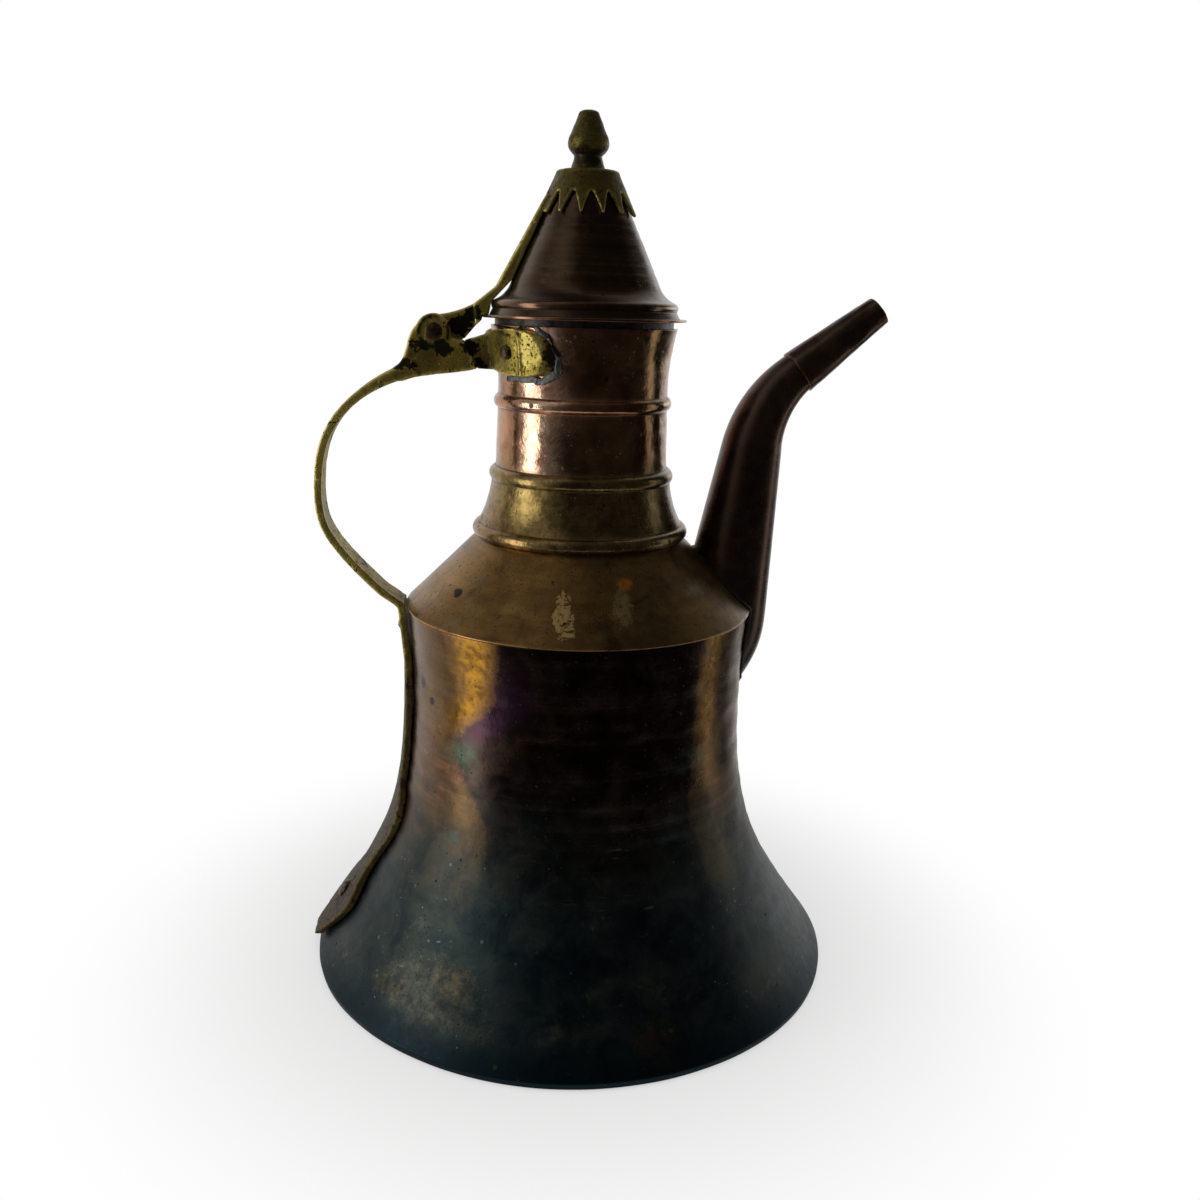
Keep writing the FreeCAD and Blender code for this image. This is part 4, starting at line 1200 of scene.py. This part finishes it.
# %% Middle line and radius of the spout
spout_lean = math.radians(7.2)
tip_lean = math.radians(51.6)
bend_place = np.array((61.7, 191.2))
bend_reach = 40.5
straight_run = 63.6
root_reach = 30.0
root_turn = math.radians(44.0)
root_radius = 16.4
straight_taper = 5.6
bend_radius = 10.8
bend_taper = 3.5
end_radius = 7.3
socket_steps = (2.0, 4.0, 5.9)
radius_smoothing = 40


def heading(angle):
    return np.array((math.sin(angle), math.cos(angle)))


def sideways(angle):
    return np.array((math.cos(angle), -math.sin(angle)))


def spout_path():
    """Middle, direction and radius from the root to the end of the tube."""
    foot = bend_place - heading(spout_lean) * straight_run
    root_centre = foot - root_reach * sideways(spout_lean)
    bend_centre = bend_place + bend_reach * sideways(spout_lean)
    path = []
    for share in np.linspace(1.0, 0.0, 24, endpoint=False):
        angle = spout_lean + root_turn * share
        path.append((root_centre + root_reach * sideways(angle), angle, root_radius))
    for share in np.linspace(0.0, 1.0, 60, endpoint=False):
        path.append((foot + (bend_place - foot) * share, spout_lean, root_radius - straight_taper * share))
    for share in np.linspace(0.0, 1.0, 40):
        angle = spout_lean + (tip_lean - spout_lean) * share
        path.append((bend_centre - bend_reach * sideways(angle), angle, bend_radius - bend_taper * share))
    end = path[-1][0]
    for reach in socket_steps:
        path.append((end + heading(tip_lean) * reach, tip_lean, end_radius))
    return path


def smooth_radii(path):
    radii = np.array([ring[2] for ring in path])
    for repeat in range(radius_smoothing):
        radii[1:-1] = (radii[:-2] + 2 * radii[1:-1] + radii[2:]) / 4
    return radii


skin_line = flare(200)


def body_reach(height):
    """Radius of the bell and shoulder at a height, in millimetres."""
    if height <= waist[1]:
        return float(np.interp(height, skin_line[:, 1], skin_line[:, 0]))
    if height <= crease[1]:
        return float(np.interp(height, (waist[1], crease[1]), (waist[0], crease[0])))
    return float(np.interp(height, (crease[1], collar[1]), (crease[0], collar[0])))


path = spout_path()
radii = smooth_radii(path)
print("spout path", len(path), "rings, end at", np.round(path[-1][0], 1).tolist())

# %% Lines of the tube, trimmed at the body
tube_rows = 110
search_back = 40
search_step = 0.05


def tube_point(step, turn, lift):
    """Place on the tube at a step along the path, which may lie between two rings."""
    low = min(int(step), len(path) - 2)
    share = step - low
    place = path[low][0] * (1 - share) + path[low + 1][0] * share
    angle = path[low][1] * (1 - share) + path[low + 1][1] * share
    reach = radii[low] * (1 - share) + radii[low + 1] * share + lift
    x, z = place + reach * math.cos(turn) * sideways(angle)
    return np.array((x, reach * math.sin(turn), z))


def root_step(turn, lift):
    """Where a line of the tube comes out of the body."""
    step = float(len(path) - search_back)
    while step > 0:
        x, y, z = tube_point(step, turn, lift)
        if math.hypot(x, y) < body_reach(z) + seat_gap:
            return step
        step -= search_step
    return 0.0


def tube_line(turn, lift, count):
    steps = np.linspace(root_step(turn, lift), len(path) - 1, count)
    return [tube_point(step, turn, lift) for step in steps]


def closed_rows(lines):
    """Vertices and faces of a grid that wraps both ways."""
    columns, rows = lines.shape[:2]
    faces = []
    for column in range(columns):
        here = column * rows
        beside = (column + 1) % columns * rows
        for row in range(rows):
            above = (row + 1) % rows
            faces.append((here + row, beside + row, beside + above, here + above))
    return lines.reshape(-1, 3) * mm, faces


def mesh_piece(name, vertices, faces, material):
    mesh = bpy.data.meshes.new(name)
    mesh.from_pydata([tuple(vertex) for vertex in vertices], [], faces)
    mesh.materials.append(material)
    mesh.shade_smooth()
    face_outwards(mesh)
    return linked(name, mesh)


tube_lines = []
for turn in round_turns(96):
    tube_lines.append(tube_line(turn, 0.0, tube_rows) + tube_line(turn, -sheet, tube_rows // 2)[::-1])
tube_lines = np.array(tube_lines)
tube = mesh_piece("spout_tube_skin", *closed_rows(tube_lines), spout_copper)
tube_inside = np.zeros(tube_lines.shape[:2])
tube_inside[:, tube_rows + 2:-2] = 1.0
store(tube.data, "inside", tube_inside.ravel())
settle(tube, "pot", "spout_copper", "spout_tube")

# %% [markdown]
# ## The tip and the solder at the root
#
# The tip is a separate tapered tube pushed over the end of the spout. It is turned upright like the
# shells and then laid along its own axis. The solder is a thin uneven bead that follows the trimmed root,
# so it is swept round the root's own points. A bevelled curve would be equally thick all round.

# %% Tip of the spout
tip_length = 36.0
tip_foot, tip_end = 8.1, 5.3
socket_radius, socket_depth = 7.35, 6.0
bore_foot, bore_end, bore_straight = 6.3, 4.3, 8.0


def spout_nozzle():
    outline = [(socket_radius, 0.0), (tip_foot, 0.0), (tip_end, tip_length), (bore_end, tip_length)]
    outline += [(bore_end, tip_length - bore_straight), (bore_foot, socket_depth)]
    outline += [(socket_radius, socket_depth)]
    outline = np.array(outline)
    points = divided(softened(outline, 0.3, True), 1.2, True)
    inside = nearer(points, divided(outline[3:], 0.4, False), divided(outline[1:3], 0.4, False))
    piece = turned(
        "spout_nozzle", points, True, spout_copper, steps=72, seed=41.0,
        dents=(0.00025, 0.012), inside=inside,
    )
    base = path[-1 - len(socket_steps)][0]
    lay = Matrix.Translation((base[0] * mm, 0.0, base[1] * mm)) @ Matrix.Rotation(tip_lean, 4, "Y")
    piece.data.transform(lay)
    return piece


settle(spout_nozzle(), "pot", "spout_copper", "spout_tip")

# %% Solder bead round the root
bead_thickness = 0.75
bead_wobble = 0.12
bead_out = 0.15


def solder_bead(columns=240, around=10):
    waves = np.random.default_rng(5).uniform(0.0, 2 * math.pi, 6)
    turns = round_turns(columns)
    line = np.array([tube_point(root_step(turn, 0.0), turn, bead_out) for turn in turns])
    run = unit_rows(np.roll(line, -2, axis=0) - np.roll(line, 2, axis=0))
    first = unit_rows(np.cross(run, unit_rows(line * (1.0, 1.0, 0.0))))
    second = np.cross(first, run)
    lines = []
    for index, turn in enumerate(turns):
        wobble = sum(math.sin(turn * (3 + 4 * k) + wave) for k, wave in enumerate(waves))
        thick = bead_thickness + bead_wobble * wobble / 1.6
        section = []
        for side in round_turns(around):
            out = math.cos(side) * first[index] + math.sin(side) * second[index]
            section.append(line[index] + thick * out)
        lines.append(section)
    return np.array(lines)


bead = mesh_piece("root_solder", *closed_rows(solder_bead()), smoked_solder)
settle(bead, "pot", "solder", "spout_solder")

# %% [markdown]
# ## The cast pieces
#
# Handle, saddle, crown and strap are cast and filed, so they have no sharp corners. Each starts as a copy
# of its measured solid, whose loose triangles are merged. A voxel remesh gives it an even skin, a few
# smoothing turns round the edges, and a little noise sinks pits into it. Bevels could round the edges,
# but their faces would stay flat, which castings never are. The bending of that skin, worked
# out from its own edges, then tells the finish where to shine and where to keep dirt. Three pieces get a
# last touch: a rib across each leaf of the saddle, narrower teeth on the crown, and a ragged edge on the
# solder.

# %% Soften a copy of a solid
pit_scale = 900.0
wave_count = 14
double_reach = 1e-6


def neighbours_mean(values, edges):
    total = np.zeros_like(values)
    np.add.at(total, edges[:, 0], values[edges[:, 1]])
    np.add.at(total, edges[:, 1], values[edges[:, 0]])
    each = np.bincount(edges.ravel(), minlength=len(values)).astype(float)
    return total / np.maximum(each, 1.0)[:, None]


def vertex_array(mesh, name):
    values = np.empty(len(mesh.vertices) * 3)
    mesh.vertices.foreach_get(name, values)
    return values.reshape(-1, 3)


def move_to(mesh, places):
    mesh.vertices.foreach_set("co", places.ravel())
    mesh.update()


def mark_bends(mesh, voxel):
    """Store how far each point stands out from, or lies below, its surroundings."""
    edges = np.empty(len(mesh.edges) * 2, int)
    mesh.edges.foreach_get("vertices", edges)
    edges = edges.reshape(-1, 2)
    places = vertex_array(mesh, "co")
    around = places
    for repeat in range(4):
        around = neighbours_mean(around, edges)
    stand = ((places - around) * vertex_array(mesh, "normal")).sum(1)[:, None] / voxel
    for repeat in range(3):
        stand = 0.5 * stand + 0.5 * neighbours_mean(stand, edges)
    store_bends(mesh, stand[:, 0], gain=2.6, least=0.12)


def waves_at(places, scale, seed):
    """A smooth seeded field, mostly from -1 to 1: sums of waves in random directions."""
    seeded = np.random.default_rng(seed)
    total = np.zeros(len(places))
    for repeat in range(wave_count):
        direction = seeded.normal(size=3)
        direction /= np.linalg.norm(direction)
        rate = scale * seeded.uniform(0.6, 1.9)
        total += np.sin(places @ direction * rate + seeded.uniform(0, 6.28))
    return total / 5.0


def softened_solid(name, node, voxel, smooth, material, sink, swell, seed):
    """A rounded copy of a node's solid; pits sink into it, and a swell lifts its whole skin."""
    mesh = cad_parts[node].data.copy()
    mesh.name = name
    merged = bmesh.new()
    merged.from_mesh(mesh)
    bmesh.ops.remove_doubles(merged, verts=merged.verts, dist=double_reach)
    merged.to_mesh(mesh)
    merged.free()
    piece = linked(name, mesh)
    remesh = piece.modifiers.new("even skin", "REMESH")
    remesh.mode = "VOXEL"
    remesh.voxel_size = voxel
    rounding = piece.modifiers.new("rounding", "SMOOTH")
    rounding.factor = 0.5
    rounding.iterations = smooth
    made = evaluated(piece)
    made.materials.clear()
    made.materials.append(material)
    places = vertex_array(made, "co")
    pits = np.clip(waves_at(places, pit_scale, seed), 0, 1.5)
    pits += 0.5 * np.clip(waves_at(places, pit_scale * 2.7, seed + 1), 0, 1.5)
    moved = places + vertex_array(made, "normal") * (swell - pits * sink)[:, None]
    made.shade_smooth()
    move_to(made, moved)
    mark_bends(made, voxel)
    return piece


print("pits are about", round(math.pi / pit_scale / mm, 1), "mm wide")

# %% Last touches on the saddle, the solder and the crown
saddle_voxel = 0.00032
rib_turn = math.radians(45.0)
rib_width = 0.6
rib_lift = 0.4
run_scale = 650.0
run_seed = 50
run_reach = 0.9
tooth_count = 14
tooth_root = 275.4
tooth_tip = 268.6
tooth_squeeze = 0.6
tip_lift = 0.3


def raise_ribs(mesh):
    """A low upright rib across the outer face of each leaf of the saddle."""
    places = vertex_array(mesh, "co")
    normals = vertex_array(mesh, "normal")
    reach = np.hypot(places[:, 0], places[:, 1])
    turn = np.arctan2(np.abs(places[:, 1]), -places[:, 0])
    facing = (normals[:, :2] * places[:, :2]).sum(1) / reach
    along = (turn - rib_turn) * reach / (rib_width * mm)
    lift = rib_lift * mm * np.exp(-along ** 2) * np.clip(facing * 2 - 1, 0, 1)
    move_to(mesh, places + normals * lift[:, None])
    mark_bends(mesh, saddle_voxel)


def run_over(mesh):
    """Let the edge of the solder wander, as molten solder runs; it stays below the mouth."""
    places = vertex_array(mesh, "co")
    waves = [waves_at(places, run_scale, run_seed + axis) for axis in range(3)]
    wander = np.stack(waves, 1) * run_reach * mm
    outward = unit_rows(places * (1.0, 1.0, 0.0))
    moved = places + wander - outward * (wander * outward).sum(1)[:, None]
    moved[:, 2] = np.minimum(moved[:, 2], (mouth[1] - seat_gap) * mm)
    move_to(mesh, moved)


def point_teeth(mesh):
    """Narrow each tooth of the crown to its tip and lift the tip; the strap at the back stays as it is."""
    places = vertex_array(mesh, "co")
    reach = np.hypot(places[:, 0], places[:, 1])
    turn = np.arctan2(places[:, 1], -places[:, 0])
    tooth_pitch = 2 * math.pi / tooth_count
    down = np.clip((tooth_root - places[:, 2] / mm) / (tooth_root - tooth_tip), 0, 1)
    down *= np.abs(turn) > 1.5 * tooth_pitch
    turn -= (turn - np.round(turn / tooth_pitch) * tooth_pitch) * down * tooth_squeeze
    reach += down ** 2 * tip_lift * mm
    move_to(mesh, np.stack([-reach * np.cos(turn), reach * np.sin(turn), places[:, 2]], 1))


print("teeth", tooth_count, "from", tooth_root, "down to", tooth_tip)

# %% Handle, saddle, crown and solder
# Each row: name, node, body, slot, finish, voxel, smoothing turns, depth of pits, swell and last touch.
cast_pieces = [
    ("strap_handle", "handle", "pot", "brass", brass, 0.00048, 6, 0.00010, 0.0, None),
    ("saddle_casting", "neck_saddle", "pot", "brass", brass, saddle_voxel, 6, 0.00010, 0.0, raise_ribs),
    ("crown_and_strap", "crown_strap", "lid", "brass", brass, 0.00030, 9, 0.00006, 0.00025, point_teeth),
    (
        "saddle_solder_edge", "saddle_solder", "pot", "solder", solder_metal,
        0.00020, 10, 0.00035, 0.0, run_over,
    ),
]
for seed, (name, node, body, slot, finish, voxel, smooth, sink, swell, touch) in enumerate(cast_pieces, 3):
    piece = softened_solid(name, node, voxel, smooth, finish, sink, swell, seed)
    if touch:
        touch(piece.data)
    settle(piece, body, slot, node)

# %% [markdown]
# ## Rivets
#
# Two rivets hold the saddle to the neck, one holds the long leaf to the bell, and the lid turns on a
# thicker one. All have domed heads on plain shanks, so one tree sets them: it lays a rivet out by rule on
# a small grid, copies it to every point, turns each copy along the direction stored on its point, and
# hammers the heads a little out of true. Softened copies of the solids would do, but they would need more
# faces.

# %% Build the rivet tree
rivet_sizes = ("Shank", "Shank length", "Head", "Rise", "Dent depth", "Seed")
rivet_inputs = [(label, "NodeSocketFloat") for label in rivet_sizes] + [("Material", "NodeSocketMaterial")]


def rivet_tree(dome_rows=12, columns=40):
    """The first rows of the grid are the dome; then come its underside, the shank and the shank's end."""
    net, given = new_tree("set_rivets", rivet_inputs)
    grid, column, row = numbered_grid(net, columns, dome_rows + 4)
    turn = column * (2 * math.pi / columns)
    lean = (row / dome_rows).clip() * (math.pi / 2)
    under = (row - dome_rows).clip()
    sunk = (row - dome_rows - 1).clip()
    closed = (row - dome_rows - 2).clip()
    reach = given["Head"] * lean.call("SINE") * (1 - under) + given["Shank"] * under * (1 - closed)
    height = given["Rise"] * lean.call("COSINE") - given["Shank length"] * sunk
    shape = set_round(net, grid, reach, turn, height)
    shape = welded(net, keep_value(net, shape, "rubbed", lean.call("COSINE")))
    sockets = {"Vector": named(net, "outward", "FLOAT_VECTOR")}
    along = net.node("FunctionNodeAlignRotationToVector", {"axis": "Z"}, sockets, "Rotation")
    sockets = {"Points": given["Geometry"], "Instance": shape, "Rotation": along}
    copies = net.node("GeometryNodeInstanceOnPoints", {}, sockets, "Instances")
    shape = net.node("GeometryNodeRealizeInstances", {}, {"Geometry": copies}, "Geometry")
    position = net.node("GeometryNodeInputPosition", out="Position")
    hammered = seeded_noise(net, position, given["Seed"], scale=520.0, detail=2.0).ramp(0.4, 0.7)
    normal = net.node("GeometryNodeInputNormal", out="Normal")
    sockets = {"Vector": normal, "Scale": hammered * given["Dent depth"] * -1}
    pushed = net.node("ShaderNodeVectorMath", {"operation": "SCALE"}, sockets, "Vector")
    shape = net.node("GeometryNodeSetPosition", {}, {"Geometry": shape, "Offset": pushed}, "Geometry")
    return close_tree(net, shape, given["Material"])


set_rivets = rivet_tree()
print("rivet tree has", len(set_rivets.nodes), "nodes")

# %% Set the rivets
saddle_rivet_turn = 34.0
saddle_rivet_reach = 33.5
saddle_rivet_level = 223.4
leaf_rivet_level = 19.0
strap_thickness = 2.7
pin_reach = 6.23
pin_sizes = (2.2, pin_reach, 3.0, 0.8, 0.10)
leaf_rivet_sizes = (2.0, strap_thickness, 3.3, 1.6, 0.25)
saddle_rivet_sizes = (1.4, 4.5, 2.4, 1.4, 0.20)


def rivets(name, places, outward, sizes, seed):
    """Places of the heads' undersides, their directions, and the sizes of one rivet in millimetres."""
    mesh = bpy.data.meshes.new(name)
    mesh.from_pydata([tuple(np.array(place) * mm) for place in places], [], [])
    directions = np.array(outward, np.float32).ravel()
    mesh.attributes.new("outward", "FLOAT_VECTOR", "POINT").data.foreach_set("vector", directions)
    values = {label: size * mm for label, size in zip(rivet_sizes, sizes)}
    values.update({"Seed": seed, "Material": rivet_metal})
    return run_tree(linked(name, mesh), set_rivets, values)


def saddle_rivet_line():
    turns = [math.radians(180.0 + side * saddle_rivet_turn) for side in (-1, 1)]
    outward = np.array([(math.cos(turn), math.sin(turn), 0.0) for turn in turns])
    return outward * saddle_rivet_reach + np.array((0.0, 0.0, saddle_rivet_level)), outward


def leaf_rivet_line():
    """Outer and inner head of the rivet through the leaf and the bell's wall."""
    row = int(np.argmin(np.abs(skin_line[:, 1] - leaf_rivet_level)))
    reach, level = skin_line[row]
    out = (offset(skin_line, 1.0) - skin_line)[row]
    place = np.array((-reach, 0.0, level))
    outward = np.array((-out[0], 0.0, out[1]))
    return [place + outward * (seat_gap + strap_thickness), place - outward * sheet], [outward, -outward]


pin_heads = [(pin_place[0], side * pin_reach, pin_place[1]) for side in (-1, 1)]
pin_outward = [(0.0, side, 0.0) for side in (-1, 1)]
pin = rivets("pin", pin_heads, pin_outward, pin_sizes, 2.0)
leaf_rivet = rivets("leaf_rivet", *leaf_rivet_line(), leaf_rivet_sizes, 4.0)
saddle_heads = rivets("saddle_rivet_heads", *saddle_rivet_line(), saddle_rivet_sizes, 6.0)
settle(pin, "pot", "rivet", "hinge_pin")
settle(leaf_rivet, "pot", "rivet", "foot_rivet")
settle(saddle_heads, "pot", "rivet", "saddle_rivets")

# %% [markdown]
# ## Floor, light and camera
#
# The pot stands on a pale floor in front of white. Metal shows what is round it, so the room matters more
# than the lamps: dark towards the camera with a faint glow at its left, white behind, a tall soft window
# at the left and a narrower one at the right. The camera is a short lens close to the pot, a little above
# it, which is why the bell's foot looks so round. An image of a studio could light it, but a few ramps
# are enough here and are easy to change.

# %% Floor and backdrop
floor_reach = 0.21
floor_level = -0.0004
white = (1.0, 1.0, 1.0, 1.0)


def white_floor():
    """Pale and matt; towards its rim it melts into the white behind it."""
    made, net = start_material("pale_floor")
    place = net.node("ShaderNodeTexCoord", out="Object")
    x, y = net.parts(place)[:2]
    speckle = net.noise(place, 900.0, 3.0)
    colour = net.mix(speckle * 0.3, tone(247, 247, 246), tone(240, 240, 239))
    matt = net.node("ShaderNodeBsdfDiffuse", {}, {"Color": colour}, "BSDF")
    glow = net.node("ShaderNodeEmission", {}, {"Color": white, "Strength": 1.0}, "Emission")
    rim = (x * x + y * y).call("SQRT").ramp(0.09, floor_reach * 0.96)
    seen = net.node("ShaderNodeLightPath", out="Is Camera Ray") * (0.5 + rim * 0.5)
    lit = net.node("ShaderNodeMixShader", {}, {0: seen, 1: matt, 2: glow}, "Shader")
    net.node("ShaderNodeOutputMaterial", {}, {"Surface": lit})
    return made


def round_floor(count=96):
    mesh = bpy.data.meshes.new("floor")
    turns = round_turns(count)
    rim = [(floor_reach * math.cos(turn), floor_reach * math.sin(turn), floor_level) for turn in turns]
    mesh.from_pydata(rim, [], [tuple(range(count))])
    mesh.materials.append(white_floor())
    return linked("floor", mesh)


round_floor()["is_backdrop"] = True
print("floor reaches", floor_reach)


# %% The room round the pot
def room():
    """White to the eye; in the metal, a white sweep behind, a dim left wall, glows and a dark front."""
    world = bpy.data.worlds.new("room")
    world.use_nodes = True
    world.node_tree.nodes.clear()
    net = Net(world.node_tree)
    x, y, z = net.parts(net.node("ShaderNodeTexCoord", out="Generated"))
    turn = x.call("ARCTAN2", y)
    above = z.ramp(-0.75, -0.35)
    sweep = turn.ramp(-1.65, -0.95) * turn.ramp(1.05, 0.50) * above
    left_wall = turn.hump(-1.55, 0.7) * above * 0.18
    right_glow = turn.hump(0.95, 0.5) * (z.ramp(0.3, 0.6) * 0.35 + z.hump(0.08, 0.26) * 2.4)
    ceiling = z.ramp(0.5, 1.0) * (0.05 + (-1 * x).ramp(0.2, 0.7) * 0.25)
    front_left = turn.hump(-2.1, 0.65) * (0.10 + z.ramp(-0.2, 0.5) * 0.25)
    back = (sweep * 0.85 + left_wall) * (1 - z.ramp(0.45, 0.9))
    shine = 0.008 + back + ceiling + right_glow + front_left
    camera_ray = net.node("ShaderNodeLightPath", out="Is Camera Ray")
    glossy, through = net.others(camera_ray, ("Is Glossy Ray", "Is Transmission Ray"))
    mirror = (glossy + through).clip()
    level = camera_ray + (1 - camera_ray) * (mirror * shine + (1 - mirror) * 0.7)
    light = net.node("ShaderNodeBackground", {}, {"Color": white, "Strength": level}, "Background")
    net.node("ShaderNodeOutputWorld", {}, {"Surface": light})
    return world


scene.world = room()
print("room has", len(scene.world.node_tree.nodes), "nodes")

# %% Lamps
camera_yaw = 7.0
window_distance = 1.2


def soft_window(name, degrees, height, width, tall, power):
    """An area lamp that faces the pot; degrees count from the camera's side towards the left."""
    angle = math.radians(degrees + camera_yaw)
    place = Vector((-math.sin(angle) * window_distance, -math.cos(angle) * window_distance, height))
    lamp = bpy.data.lights.new(name, "AREA")
    lamp.shape = "RECTANGLE"
    lamp.size = width
    lamp.size_y = tall
    lamp.energy = power
    piece = linked(name, lamp)
    piece.location = place
    piece.rotation_euler = (Vector((0.0, 0.0, height)) - place).to_track_quat("-Z", "Y").to_euler()
    print(name, "at", [round(value, 2) for value in place])


soft_window("left_window", degrees=70.0, height=0.05, width=0.42, tall=1.3, power=6.0)
soft_window("right_window", degrees=-102.0, height=0.05, width=0.22, tall=1.3, power=1.1)

# %% Camera
eye = Vector((-0.0411, -0.4010, 0.2389))
pitch = math.radians(14.53)
yaw = math.radians(camera_yaw)
roll = math.radians(1.62)
ahead = Vector((math.sin(yaw) * math.cos(pitch), math.cos(yaw) * math.cos(pitch), -math.sin(pitch)))
tilt = Matrix.Rotation(roll, 3, "Z").to_quaternion()
lens = bpy.data.cameras.new("camera")
lens.sensor_width = 36.0
lens.lens = 33.99
lens.clip_start = 0.01
camera = linked("camera", lens)
camera.location = eye
camera.rotation_euler = (ahead.to_track_quat("-Z", "Y") @ tilt).to_euler()
scene.camera = camera
print("camera at", [round(value, 3) for value in eye])

# %% Print the box of the dressed pot
seen_box = [list(corner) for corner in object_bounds()]
print("visual box", [[round(value, 4) for value in corner] for corner in seen_box])
